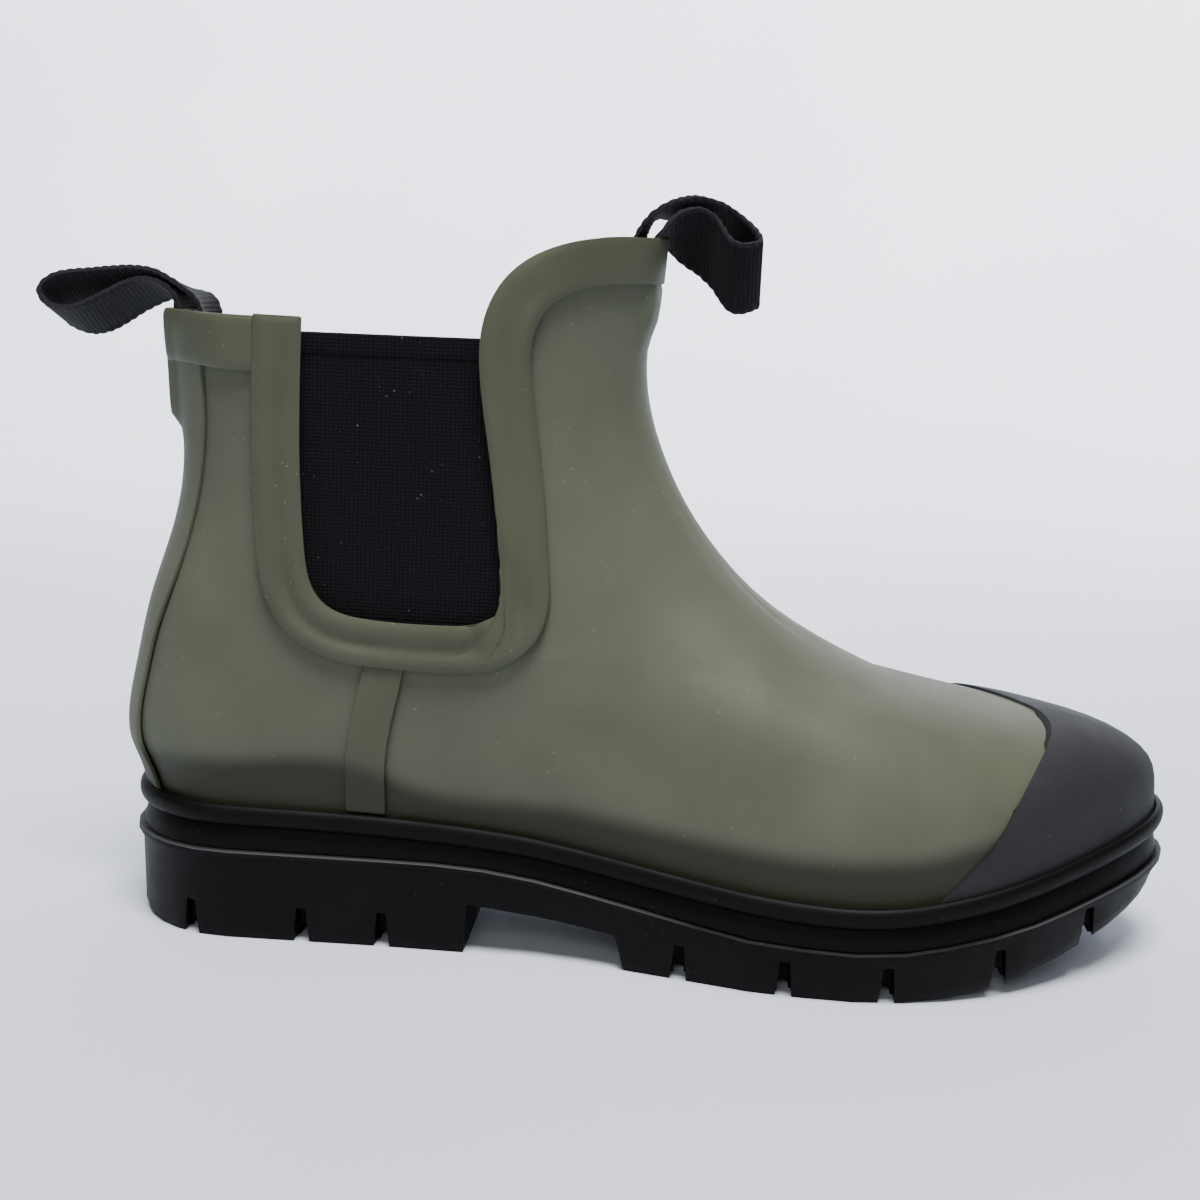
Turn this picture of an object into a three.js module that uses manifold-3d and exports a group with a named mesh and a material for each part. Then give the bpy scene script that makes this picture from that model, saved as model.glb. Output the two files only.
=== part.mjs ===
// Ankle-high rubber rain boot with elastic side gores and two webbing pull loops.
// Millimetres. +X runs from heel to toe, +Z is up, and -Y is the outer side of a right boot.
import * as THREE from "three";
import { mergeVertices } from "three/addons/utils/BufferGeometryUtils.js";
import Module from "manifold-3d";

const wasm = await Module();
wasm.setup();

// Driving dimensions
const soleHeelX = -3; // rearmost point of the sole; 0 is the back of the foot space at the featherline
const soleToeX = 295;
const heelRound = 34; // how far the heel end of the sole outline takes to reach its full width
const toeRound = 75;
const ballHalfWidth = 54;
const heelHalfWidth = 36.5;
const legHalfWidth = 36;
const collarBackZ = 172;
const collarFrontZ = 196;
const goreTopZ = 168;
const legTopZ = 176; // top of the modelled leg surface at the heel; every edge is trimmed below it

const upperInset = 4; // sole edge to the outer face of the upper
const sheetThickness = 2.2;
const layerGap = 0.5; // between layers that lie on each other
const seamGap = 0.3; // between pieces that meet edge to edge
const bandThickness = 1.5;
const capThickness = 1.6;
const stripThickness = 1.2;
const stripLift = 0.7; // height of a strip over the sheet it is bonded to
const goreThickness = 1.5;
const goreRecess = 0.6;
const liningThickness = 0.9;
const counterThickness = 1;
const frameWidth = 11.8;
const goreMargin = 4.6; // how far the elastic runs under its rubber border
const sheetMargin = 5; // how far the rubber sheets run under the same border from outside

const beadWidth = 3;
const beadHeight = 5.8;
const lipLift = 0.9; // top face of the outsole above the middle of its lip
const toeSpringStart = 205;
const toeSpringRate = 0.0028; // the rise of the tread is this times the square of the distance

const heelBreastX = 97;
const archFrontX = 140;
const notchDepth = 9;
const notchHeight = 10;
const notchWidth = 4.8;
const notchTopWidth = 2.6;
const notchPlaces = [20.5, 52, 74.5, 157, 185, 212, 242, 268];
const grooveWidth = 3;
const grooveDepth = 2.5;

const footbedThickness = 4;
const boardThickness = 1.8;
const shankThickness = 1.2;
const shankHalfWidth = 8;
const shankStartX = 60;
const shankEndX = 168;

const webbingWidth = 20;
const webbingThickness = 1.3;
const tailLength = 25; // how far down a webbing end is stitched
const tailRise = 1.4; // how far it stands over the collar edge
const tailRelief = 1.9; // how far the rubber stands out over a stitched-in webbing end
const tailFade = 6; // the length over which the rubber rises to that

const colours = {
  olive: 0x686c5d,
  charcoal: 0x48494d,
  soleBlack: 0x151415,
  goreBlack: 0x1a191f,
  webbing: 0x121114,
  lining: 0x3a3c36,
  footbed: 0x2c2d2b,
  board: 0xa58a63,
  steel: 0xb4b7ba,
  cork: 0x9b8260,
};

// Small helpers
const mix = (a, b, k) => a + (b - a) * k;
const clamp = (v, low = 0, high = 1) => Math.min(high, Math.max(low, v));
const smooth = (v) => {
  const k = clamp(v);
  return k * k * (3 - 2 * k);
};

// A smooth height through [x, value] points, with no overshoot between them.
function through(points) {
  const slope = points.map((p, i) => {
    if (i === 0 || i === points.length - 1) return 0;
    const before = (p[1] - points[i - 1][1]) / (p[0] - points[i - 1][0]);
    const after = (points[i + 1][1] - p[1]) / (points[i + 1][0] - p[0]);
    return before * after > 0 ? (2 * before * after) / (before + after) : 0;
  });
  const last = points.length - 1;
  slope[0] = (points[1][1] - points[0][1]) / (points[1][0] - points[0][0]);
  slope[last] = (points[last][1] - points[last - 1][1]) / (points[last][0] - points[last - 1][0]);
  return (x) => {
    if (x <= points[0][0]) return points[0][1] + slope[0] * (x - points[0][0]);
    if (x >= points[last][0]) return points[last][1] + slope[last] * (x - points[last][0]);
    const i = points.findIndex((p, n) => n > 0 && x <= p[0]) - 1;
    const [x0, y0] = points[i];
    const [x1, y1] = points[i + 1];
    const h = x1 - x0;
    const k = (x - x0) / h;
    const near = (1 + 2 * k) * (1 - k) ** 2 * y0 + k * k * (3 - 2 * k) * y1;
    return near + h * (k * (1 - k) ** 2 * slope[i] - k * k * (1 - k) * slope[i + 1]);
  };
}

// Finds where a rising function reaches a value.
function solve(rising, value, low, high) {
  for (let i = 0; i < 40; i++) {
    const middle = (low + high) / 2;
    if (rising(middle) < value) low = middle;
    else high = middle;
  }
  return (low + high) / 2;
}

// A quarter-circle rise from 0 at an end to 1 at full width.
const roundEnd = (k) => Math.sqrt(clamp(k) * (2 - clamp(k)));

// Sole outline and heights
const soleSide = through([
  [0, heelHalfWidth], [50, heelHalfWidth], [85, 35], [115, 34.2], [150, 41.5],
  [182, 50.5], [208, ballHalfWidth], [240, 51.5], [295, 47],
]);
const soleCentre = through([
  [0, 0], [50, 0], [120, -3.5], [165, -3.5], [205, -1], [240, 3], [275, 11], [295, 14],
]);
const soleHalf = (x) => {
  const ends = roundEnd((x - soleHeelX) / heelRound) * roundEnd((soleToeX - x) / toeRound);
  return soleSide(x) * ends;
};
const lipZ = through([
  [0, 25], [90, 24.8], [140, 18.7], [180, 13.8], [206, 13.1], [240, 17.2], [270, 23.4], [295, 28.6],
]);
const beadZ = through([
  [0, 36], [60, 35.3], [100, 33.5], [145, 27.9], [185, 23.8], [206, 23],
  [235, 26.8], [265, 33.5], [295, 40.3],
]);
const groundZ = (x) => toeSpringRate * Math.max(0, x - toeSpringStart) ** 2;
const featherZ = (x) => beadZ(x) - beadHeight / 2 + 0.3;
const beadTopZ = (x) => beadZ(x) + beadHeight / 2;
const outsoleTopZ = (x) => lipZ(x) + lipLift;
const midsoleTopZ = (x) => featherZ(x) - 2 * seamGap;

// Point on the sole outline. Turn runs 0 at the heel, 1 at the toe and 2 back at the heel.
function outline(turn, inset) {
  const at = (a) => {
    const s = (1 - Math.cos(Math.PI * a)) / 2;
    const x = mix(soleHeelX, soleToeX, s);
    const side = Math.sin(Math.PI * a) < 0 ? -1 : 1;
    return new THREE.Vector2(x, soleCentre(x) - side * soleHalf(x));
  };
  const step = 0.002;
  const along = at(turn + step).sub(at(turn - step)).normalize();
  return at(turn).add(new THREE.Vector2(-along.y, along.x).multiplyScalar(inset));
}

// Upper surface: rings that climb from the featherline to the collar
const heelX = through([
  [30, 1.4], [38, 1.1], [47, -1.3], [56, -2.7], [67, -2.2], [78, -0.9], [89, 1.2], [99, 4.2],
  [110, 7.9], [122, 10.6], [132, 11.4], [145, 11.2], [157, 10.2], [168, 9.2], [176, 9],
]);
const frontX = through([
  [0, 290.6], [0.08, 290.4], [0.16, 285.5], [0.24, 272], [0.33, 250], [0.43, 224], [0.53, 192],
  [0.62, 168.5], [0.72, 151.5], [0.82, 142.6], [0.9, 140.6], [1, 142.3],
]);
const frontZ = through([
  [0, 37], [0.08, 48], [0.16, 57.5], [0.24, 65], [0.33, 70], [0.43, 74.4], [0.53, 84.6],
  [0.62, 101], [0.72, 125], [0.82, 149], [0.9, 169], [1, 201],
]);
const frontRound = through([
  [0, 74], [0.08, 76], [0.16, 86], [0.24, 108], [0.33, 124], [0.43, 120], [0.53, 98],
  [0.62, 80], [0.72, 66], [0.82, 57], [0.9, 52], [1, 49],
]);
const backRound = through([[0, 30], [0.3, 31], [0.7, 35], [1, 38]]);
const heelStartZ = featherZ(0);

function upperPoint(turn, t) {
  const s = (1 - Math.cos(Math.PI * turn)) / 2;
  const backZ = mix(heelStartZ, legTopZ, t);
  const back = new THREE.Vector2(heelX(backZ), backZ);
  const front = new THREE.Vector2(frontX(t), frontZ(t));
  const length = back.distanceTo(front);
  const x = mix(back.x, front.x, s);
  const lineZ = mix(back.y, front.y, s);
  const settle = Math.max(0, 1 - t) ** 8;
  const startLineZ = mix(heelStartZ, 37, s);
  const z = lineZ + (featherZ(x) - startLineZ) * settle;
  const towardLeg = smooth(t / 0.35) * (1 - smooth((x - 118) / 62));
  const side = mix(soleSide(x) - upperInset, legHalfWidth, towardLeg);
  const half = side * roundEnd((s * length) / backRound(t)) * roundEnd(((1 - s) * length) / frontRound(t));
  const centre = soleCentre(x) * (1 - smooth((t - 0.45) / 0.35));
  const hand = Math.sin(Math.PI * turn) < 0 ? -1 : 1;
  return new THREE.Vector3(x, centre - hand * half, z);
}

function upperNormal(turn, t) {
  const step = 0.004;
  const along = upperPoint(turn + step, t).sub(upperPoint(turn - step, t));
  const up = upperPoint(turn, t + step).sub(upperPoint(turn, t - step));
  return along.cross(up).normalize();
}

// The surface place, as [turn, t], of a point given in side view on the outer side.
function place(x, z) {
  const turnAt = (t) => {
    const backX = heelX(mix(heelStartZ, legTopZ, t));
    return Math.acos(1 - 2 * clamp((x - backX) / (frontX(t) - backX))) / Math.PI;
  };
  const t = solve((k) => upperPoint(turnAt(k), k).z, z, -0.02, 1.05);
  return [turnAt(t), t];
}
// How far up the rings a height lies, on the line at one turn.
const heightAt = (turn, z) => solve((k) => upperPoint(turn, k).z, z, -0.02, 1.05);
const overBead = (turn) =>
  solve((k) => {
    const p = upperPoint(turn, k);
    return p.z - beadTopZ(p.x);
  }, seamGap + 0.2, -0.02, 0.5);
// The turn near the heel (0) or the toe ridge (1) where the surface stands out sideways by half.
const heelTurnAt = (t, half) => solve((a) => -upperPoint(a, t).y, half, 0, 0.3);
const ridgeTurnAt = (t, half) => 1 - solve((a) => -upperPoint(1 - a, t).y, half, 0, 0.3);

// Mesh building
function solidGeometry(positions, triangles) {
  const geometry = new THREE.BufferGeometry();
  geometry.setAttribute("position", new THREE.Float32BufferAttribute(positions, 3));
  geometry.setIndex(triangles);
  let volume = 0;
  const [a, b, c] = [new THREE.Vector3(), new THREE.Vector3(), new THREE.Vector3()];
  for (let i = 0; i < triangles.length; i += 3) {
    a.fromArray(positions, 3 * triangles[i]);
    b.fromArray(positions, 3 * triangles[i + 1]);
    c.fromArray(positions, 3 * triangles[i + 2]);
    volume += a.dot(b.cross(c));
  }
  if (volume < 0) {
    for (let i = 0; i < triangles.length; i += 3) {
      [triangles[i + 1], triangles[i + 2]] = [triangles[i + 2], triangles[i + 1]];
    }
    geometry.setIndex(triangles);
  }
  geometry.computeVertexNormals();
  return geometry;
}

// A closed sheet from two grids of points, [row][column].
function sheetSolid(outer, inner) {
  const rows = outer.length;
  const columns = outer[0].length;
  const positions = [outer, inner].flat(2).flatMap((p) => [p.x, p.y, p.z]);
  const index = (layer, row, column) => layer * rows * columns + row * columns + column;
  const triangles = [];
  const quad = (a, b, c, d) => triangles.push(a, b, c, a, c, d);
  for (let r = 0; r < rows - 1; r++) {
    for (let c = 0; c < columns - 1; c++) {
      quad(index(0, r, c), index(0, r, c + 1), index(0, r + 1, c + 1), index(0, r + 1, c));
      quad(index(1, r, c), index(1, r + 1, c), index(1, r + 1, c + 1), index(1, r, c + 1));
    }
  }
  for (let c = 0; c < columns - 1; c++) {
    quad(index(0, 0, c), index(1, 0, c), index(1, 0, c + 1), index(0, 0, c + 1));
    const end = rows - 1;
    quad(index(0, end, c), index(0, end, c + 1), index(1, end, c + 1), index(1, end, c));
  }
  for (let r = 0; r < rows - 1; r++) {
    quad(index(0, r, 0), index(0, r + 1, 0), index(1, r + 1, 0), index(1, r, 0));
    const end = columns - 1;
    quad(index(0, r, end), index(1, r, end), index(1, r + 1, end), index(0, r + 1, end));
  }
  return solidGeometry(positions, triangles);
}

// A sheet on the upper surface between four edges. Each edge takes 0..1 and gives [turn, t];
// low and high are heights of its two faces over the surface, as numbers or functions of a point.
function patch({ bottom, top, left, right, columns, rows, low, high }) {
  const height = (value, p) => (typeof value === "function" ? value(p) : value);
  const grids = [high, low].map((level) => {
    const grid = [];
    for (let j = 0; j <= rows; j++) {
      const v = j / rows;
      const row = [];
      for (let i = 0; i <= columns; i++) {
        const u = i / columns;
        const edges = [bottom(u), top(u), left(v), right(v)];
        const corners = [bottom(0), bottom(1), top(0), top(1)];
        const [turn, t] = [0, 1].map((n) => {
          const upDown = mix(edges[0][n], edges[1][n], v);
          const sideways = mix(edges[2][n], edges[3][n], u);
          const lowCorners = mix(corners[0][n], corners[1][n], u);
          const highCorners = mix(corners[2][n], corners[3][n], u);
          return upDown + sideways - mix(lowCorners, highCorners, v);
        });
        const p = upperPoint(turn, t);
        row.push(p.clone().addScaledVector(upperNormal(turn, t), height(level, p)));
      }
      grid.push(row);
    }
    return grid;
  });
  return sheetSolid(grids[0], grids[1]);
}

const otherSide = (edge) => (u) => {
  const [turn, t] = edge(u);
  return [-turn, t];
};
const mirroredPatch = ({ bottom, top, left, right, ...rest }) => patch({
  ...rest,
  bottom: otherSide(bottom),
  top: otherSide(top),
  left: otherSide(left),
  right: otherSide(right),
});
// The same edge seen on the inner side, as turns past the toe ridge.
const beyondRidge = (edge) => (u) => {
  const [turn, t] = edge(u);
  return [2 - turn, t];
};

// A side-view line through points, sampled by length, that can be shifted sideways.
function sideLine(points) {
  const curve = new THREE.CatmullRomCurve3(
    points.map(([x, z]) => new THREE.Vector3(x, 0, z)), false, "centripetal",
  );
  curve.arcLengthDivisions = 400;
  return (from, to, shift = 0) => (u) => {
    const k = mix(from, to, u);
    const p = curve.getPointAt(clamp(k));
    const along = curve.getTangentAt(clamp(k));
    const amount = typeof shift === "function" ? shift(k) : shift;
    return place(p.x - along.z * amount, p.z + along.x * amount);
  };
}

// The same edge with its steps spread evenly along its length on the surface.
function evenly(edge) {
  const samples = 120;
  const lengths = [0];
  let last = upperPoint(...edge(0));
  for (let i = 1; i <= samples; i++) {
    const next = upperPoint(...edge(i / samples));
    lengths.push(lengths[i - 1] + next.distanceTo(last));
    last = next;
  }
  return (u) => {
    const wanted = clamp(u) * lengths[samples];
    const i = Math.min(samples - 1, Math.max(0, lengths.findIndex((l) => l > wanted) - 1));
    const part = clamp((wanted - lengths[i]) / (lengths[i + 1] - lengths[i]));
    return edge(u >= 1 ? 1 : (i + part) / samples);
  };
}

// How far down a side line its crossing with the top of the bead lies.
const beadCrossing = (line) => solve((k) => {
  const p = upperPoint(...line(k, k)(0));
  return beadTopZ(p.x) - p.z;
}, -seamGap - 0.2, 0.4, 1);

// Sole plates: rings of the outline from the ground up, closed by cross strips.
function plate(levels, count = 64) {
  const positions = [];
  for (const { inset, z } of levels) {
    for (let i = 0; i < count; i++) {
      const p = outline((2 * i) / count, inset);
      positions.push(p.x, p.y, z(clamp(p.x, soleHeelX, soleToeX)));
    }
  }
  const triangles = [];
  for (let l = 0; l < levels.length - 1; l++) {
    for (let i = 0; i < count; i++) {
      const next = (i + 1) % count;
      const [a, b] = [l * count + i, l * count + next];
      triangles.push(a, b, b + count, a, b + count, a + count);
    }
  }
  const cap = (start, flip) => {
    const add = (a, b, c) => {
      const corners = flip ? [a, c, b] : [a, b, c];
      triangles.push(...corners.map((corner) => start + corner));
    };
    add(0, count - 1, 1);
    for (let i = 1; i < count / 2 - 1; i++) {
      add(i, count - i, count - i - 1);
      add(i, count - i - 1, i + 1);
    }
    add(count / 2 - 1, count / 2 + 1, count / 2);
  };
  cap(0, false);
  cap((levels.length - 1) * count, true);
  return solidGeometry(positions, triangles);
}

// A block drawn in side view and pushed out across the boot from y0 to y1.
function crossBlock(points, y0, y1) {
  const shape = new THREE.Shape(points.map(([x, z]) => new THREE.Vector2(x, z)));
  const geometry = new THREE.ExtrudeGeometry(shape, { depth: y1 - y0, bevelEnabled: false });
  return geometry.rotateX(Math.PI / 2).translate(0, y1, 0);
}

function toSolid(geometry) {
  const bare = geometry.clone();
  bare.deleteAttribute("normal");
  bare.deleteAttribute("uv");
  const merged = mergeVertices(bare, 1e-4);
  return new wasm.Manifold(new wasm.Mesh({
    numProp: 3,
    vertProperties: new Float32Array(merged.attributes.position.array),
    triVerts: new Uint32Array(merged.index.array),
  }));
}

function fromSolid(solid) {
  const mesh = solid.getMesh();
  const geometry = new THREE.BufferGeometry();
  geometry.setAttribute("position", new THREE.BufferAttribute(mesh.vertProperties, 3));
  geometry.setIndex(new THREE.BufferAttribute(mesh.triVerts, 1));
  geometry.computeVertexNormals();
  return geometry;
}

const boot = new THREE.Group();

function addPiece(name, geometry, colour, roughness = 0.8, metalness = 0) {
  const material = new THREE.MeshStandardMaterial({ color: colour, roughness, metalness });
  const mesh = new THREE.Mesh(geometry, material);
  mesh.name = name;
  boot.add(mesh);
}

// Outsole: heel block, arch gap, forefoot, lip, side notches and a hollow heel
function heelCore(inset, bottomZ, topZ) {
  const [x0, x1, half, corner] = [14 + inset, 84 - inset, 22 - inset, 8];
  const shape = new THREE.Shape();
  shape.moveTo(x0 + corner, -half);
  shape.lineTo(x1, -half);
  shape.lineTo(x1, half);
  shape.lineTo(x0 + corner, half);
  shape.quadraticCurveTo(x0, half, x0, half - corner);
  shape.lineTo(x0, corner - half);
  shape.quadraticCurveTo(x0, -half, x0 + corner, -half);
  const settings = { depth: topZ - bottomZ, bevelEnabled: false, curveSegments: 4 };
  return new THREE.ExtrudeGeometry(shape, settings).translate(0, 0, bottomZ);
}
const heelFloorZ = 7;

function outsoleGeometry() {
  let body = toSolid(plate([
    { inset: 3, z: groundZ },
    { inset: 2, z: (x) => groundZ(x) + 3 },
    { inset: 1.3, z: (x) => lipZ(x) - 1.5 },
    { inset: 0, z: (x) => lipZ(x) - 0.9 },
    { inset: 0, z: (x) => lipZ(x) + 0.4 },
    { inset: 0.8, z: outsoleTopZ },
  ]));
  const arch = [
    [heelBreastX, -5], [heelBreastX + 1.3, 14.4],
    [archFrontX - 0.5, 10], [archFrontX + 3.5, -5],
  ];
  body = body.subtract(toSolid(crossBlock(arch, -80, 80)));
  body = body.subtract(toSolid(heelCore(0, heelFloorZ, 40)));
  for (const x of notchPlaces) {
    const floor = groundZ(x) - 2;
    const top = groundZ(x) + notchHeight;
    const notch = [
      [x - notchWidth / 2, floor], [x - notchTopWidth / 2, top],
      [x + notchTopWidth / 2, top], [x + notchWidth / 2, floor],
    ];
    const outerEdge = soleCentre(x) - soleHalf(x);
    const innerEdge = soleCentre(x) + soleHalf(x);
    body = body.subtract(toSolid(crossBlock(notch, outerEdge - 20, outerEdge + notchDepth)));
    body = body.subtract(toSolid(crossBlock(notch, innerEdge - notchDepth, innerEdge + 20)));
    const groove = [
      [x - grooveWidth / 2, floor], [x - grooveWidth / 2, groundZ(x) + grooveDepth],
      [x + grooveWidth / 2, groundZ(x) + grooveDepth], [x + grooveWidth / 2, floor],
    ];
    body = body.subtract(toSolid(crossBlock(groove, outerEdge, innerEdge)));
  }
  return fromSolid(body);
}
addPiece("outsole", outsoleGeometry(), colours.soleBlack);
addPiece("heel_filler", heelCore(0.4, heelFloorZ + 0.4, 25.2), colours.cork, 0.9);

// Midsole wall with a pocket for the shank, the shank, the insole board and the footbed
function stripAlong(x0, x1, half, bottom, top) {
  const steps = 8;
  const xs = Array.from({ length: steps + 1 }, (_, i) => mix(x0, x1, i / steps));
  const lower = xs.map((x) => [x, bottom(x)]);
  const upper = xs.map((x) => [x, top(x)]).reverse();
  return crossBlock([...lower, ...upper], -half - 1.5, half - 1.5);
}
const shankBottomZ = (x) => midsoleTopZ(x) - shankThickness - 0.2;

function midsoleGeometry() {
  const body = toSolid(plate([
    { inset: 3, z: (x) => outsoleTopZ(x) + seamGap },
    { inset: 3, z: midsoleTopZ },
  ]));
  const pocket = stripAlong(
    shankStartX - 0.5, shankEndX + 0.5, shankHalfWidth + 0.5,
    (x) => shankBottomZ(x) - seamGap, (x) => midsoleTopZ(x) + 3,
  );
  return fromSolid(body.subtract(toSolid(pocket)));
}
addPiece("midsole", midsoleGeometry(), colours.soleBlack);
const shankTopZ = (x) => shankBottomZ(x) + shankThickness;
const shank = stripAlong(shankStartX, shankEndX, shankHalfWidth, shankBottomZ, shankTopZ);
addPiece("shank", shank, colours.steel, 0.4, 0.9);
const boardBottomZ = (x) => midsoleTopZ(x) + seamGap;
const boardTopZ = (x) => boardBottomZ(x) + boardThickness;
addPiece("insole_board", plate([
  { inset: 10, z: boardBottomZ },
  { inset: 10, z: boardTopZ },
], 56), colours.board, 0.9);
addPiece("footbed", plate([
  { inset: 11, z: (x) => boardTopZ(x) + seamGap },
  { inset: 11, z: (x) => boardTopZ(x) + seamGap + footbedThickness },
], 56), colours.footbed, 0.95);

// Foxing bead: a round-backed strip all the way round the featherline
function beadGeometry() {
  const count = 64;
  const inner = upperInset - 0.9;
  const outer = inner - beadWidth;
  const half = beadHeight / 2;
  const section = [
    [inner, -half], [mix(inner, outer, 0.6), -half], [mix(inner, outer, 0.92), -half * 0.55],
    [outer, 0], [mix(inner, outer, 0.92), half * 0.55], [mix(inner, outer, 0.6), half],
    [inner, half],
  ];
  const positions = [];
  const triangles = [];
  for (let i = 0; i < count; i++) {
    for (const [inset, rise] of section) {
      const p = outline((2 * i) / count, inset);
      positions.push(p.x, p.y, beadZ(clamp(p.x, soleHeelX, soleToeX)) + rise);
    }
  }
  const size = section.length;
  for (let i = 0; i < count; i++) {
    for (let k = 0; k < size; k++) {
      const [a, b] = [i * size + k, i * size + ((k + 1) % size)];
      const shift = (((i + 1) % count) - i) * size;
      triangles.push(a, b, b + shift, a, b + shift, a + shift);
    }
  }
  return solidGeometry(positions, triangles);
}
addPiece("foxing_bead", beadGeometry(), colours.soleBlack);

// Lines drawn in side view
// The edge of the elastic panel, from the collar down, round its foot, up and over the front arch.
const goreLine = sideLine([
  [51.1, collarBackZ - 0.5], [50.8, 156], [50.9, 134], [52, 115], [53.3, 104],
  [56.2, 97.2], [62.7, 93.7], [72, 92.5], [85, 92.2], [97.3, 92.7], [103.6, 94.4],
  [105.8, 98.6], [105, 109], [103.2, 125], [101.2, 138.5], [99, 152.5], [97.9, 165],
  [99, 174], [103.6, 183.6], [110.5, 189.6], [119, 193.2], [130, 195.3], [142, collarFrontZ],
]);
const goreFootStart = 0.222; // where the rear corner of the panel begins, as a share of the line
const goreFootMiddle = 0.36;
const goreFootEnd = 0.462;
const goreFrontTop = 0.765; // where the front edge passes the top of the elastic
const seamLine = sideLine([[75, 85.5], [74, 72], [71.2, 62], [69.8, 52], [69.4, 40], [69.4, 30]]);
const stripRear = sideLine([[69.4, 79.2], [67.3, 72], [65.6, 63], [64.3, 54], [64, 46], [64, 30]]);
const stripFront = sideLine([[80.2, 79], [78.8, 73], [76.6, 63], [75.5, 55], [75.1, 46.5], [75.1, 30]]);
const backStripEdge = sideLine([
  [21.5, 157.8], [23, 144], [22.4, 132.5], [20.8, 121.4], [17.5, 108.6], [13, 95.4], [8.8, 84.8],
  [6.2, 71.3], [5, 59.6], [5.8, 51], [9.2, 41.7], [11.5, 36],
]);
const toeCapLine = sideLine([
  [256.8, 67.2], [254.8, 64.5], [251.3, 61], [246.9, 56.3], [243.3, 50.9], [239.9, 45],
  [236.2, 39.3], [230.6, 32.6], [225.8, 28], [221, 24],
]);
const toeCapRidgeZ = 68.4;

// Where the webbing ends lie under the rubber, which stands out over them
const overTail = (p) => {
  const across = 1 - smooth((Math.abs(p.y) - webbingWidth / 2 - 0.6) / tailFade);
  const rise = (rimZ) => smooth((p.z - (rimZ - tailLength - tailFade - 3)) / tailFade);
  const rear = p.x < 60 ? rise(collarBackZ) : 0;
  const front = p.x > 100 ? rise(collarFrontZ) : 0;
  return tailRelief * across * Math.max(rear, front);
};
const raised = (height) => (p) => height + overTail(p);
const frontRaised = (height) => (p) => height + (p.x > 100 ? overTail(p) : 0);

// Edges shared by the rubber sheets and their linings
const heelSeam = 0.0012;
const heelEdge = (topZ) => (v) => [heelSeam, mix(0, heightAt(heelSeam, topZ), v)];
const featherEdge = (from, to) => (u) => [mix(from, to, u), 0];
const seamSplit = 0.36; // share of the side edge that runs up the seam to the foot of the panel

function quarterEdges(drop) {
  const seam = seamLine(1, 0, -seamGap / 2);
  const cut = goreLine(goreFootMiddle - 0.004, 0, sheetMargin - frameWidth);
  const right = (v) => (v < seamSplit ? seam(v / seamSplit) : cut((v - seamSplit) / (1 - seamSplit)));
  const topCorner = right(1);
  const topT = heightAt(topCorner[0], collarBackZ - 0.5 - drop);
  const side = (v) => {
    const [turn, t] = right(v);
    return [turn, Math.min(t, topT)];
  };
  const foot = side(0);
  return {
    left: heelEdge(collarBackZ - drop),
    right: (v) => (v === 0 ? [foot[0], 0] : side(v)),
    bottom: featherEdge(heelSeam, foot[0]),
    top: (u) => {
      const turn = mix(heelSeam, side(1)[0], u);
      return [turn, heightAt(turn, mix(collarBackZ, collarBackZ - 0.5, u) - drop)];
    },
  };
}

function vampEdges(drop) {
  const seam = seamLine(1, 0, seamGap / 2);
  const underFrame = sheetMargin - frameWidth;
  const archMargin = (k) => mix(underFrame, -0.8 - drop, smooth((k - goreFrontTop) / 0.07));
  const cut = goreLine(goreFootMiddle + 0.004, goreFrontTop, archMargin);
  const left = (v) => (v < seamSplit ? seam(v / seamSplit) : cut((v - seamSplit) / (1 - seamSplit)));
  const foot = left(0);
  const start = (v) => (v === 0 ? [foot[0], 0] : left(v));
  const arch = evenly(goreLine(goreFrontTop, 1, archMargin));
  const overRidge = beyondRidge(arch);
  return {
    left: start,
    right: beyondRidge(start),
    bottom: featherEdge(foot[0], 2 - foot[0]),
    top: (u) => (u < 0.5 ? arch(2 * u) : overRidge(2 - 2 * u)),
  };
}

// Rubber sheets
const vampColumns = 38;
const quarterColumns = 8;
const upperRows = 14;
const vampFaces = { low: frontRaised(-sheetThickness), high: frontRaised(0) };
addPiece("vamp", patch({
  ...vampEdges(0), columns: vampColumns, rows: upperRows, ...vampFaces,
}), colours.olive);
const quarter = {
  ...quarterEdges(0), columns: quarterColumns, rows: upperRows, low: -sheetThickness, high: 0,
};
addPiece("outer_quarter", patch(quarter), colours.olive);
addPiece("inner_quarter", mirroredPatch(quarter), colours.olive);

// Linings, which step inward over the heel counter
const liningHigh = -sheetThickness - layerGap;
const counterHigh = liningHigh - 0.15;
const counterLow = counterHigh - counterThickness;
const aroundCounter = (p) => {
  const sideways = 1 - smooth((p.x - 64) / 6);
  const upward = 1 - smooth((p.z - 91) / 8);
  return (counterThickness + layerGap + 0.35) * sideways * upward;
};
const liningFaces = {
  high: (p) => liningHigh - aroundCounter(p),
  low: (p) => liningHigh - liningThickness - aroundCounter(p),
};
const quarterLining = {
  ...quarterEdges(1), columns: quarterColumns, rows: upperRows, ...liningFaces,
};
addPiece("outer_quarter_lining", patch(quarterLining), colours.lining, 0.95);
addPiece("inner_quarter_lining", mirroredPatch(quarterLining), colours.lining, 0.95);
const vampLiningFaces = { low: liningHigh - liningThickness, high: liningHigh };
addPiece("vamp_lining", patch({
  ...vampEdges(1), columns: vampColumns, rows: upperRows, ...vampLiningFaces,
}), colours.lining, 0.95);

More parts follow.
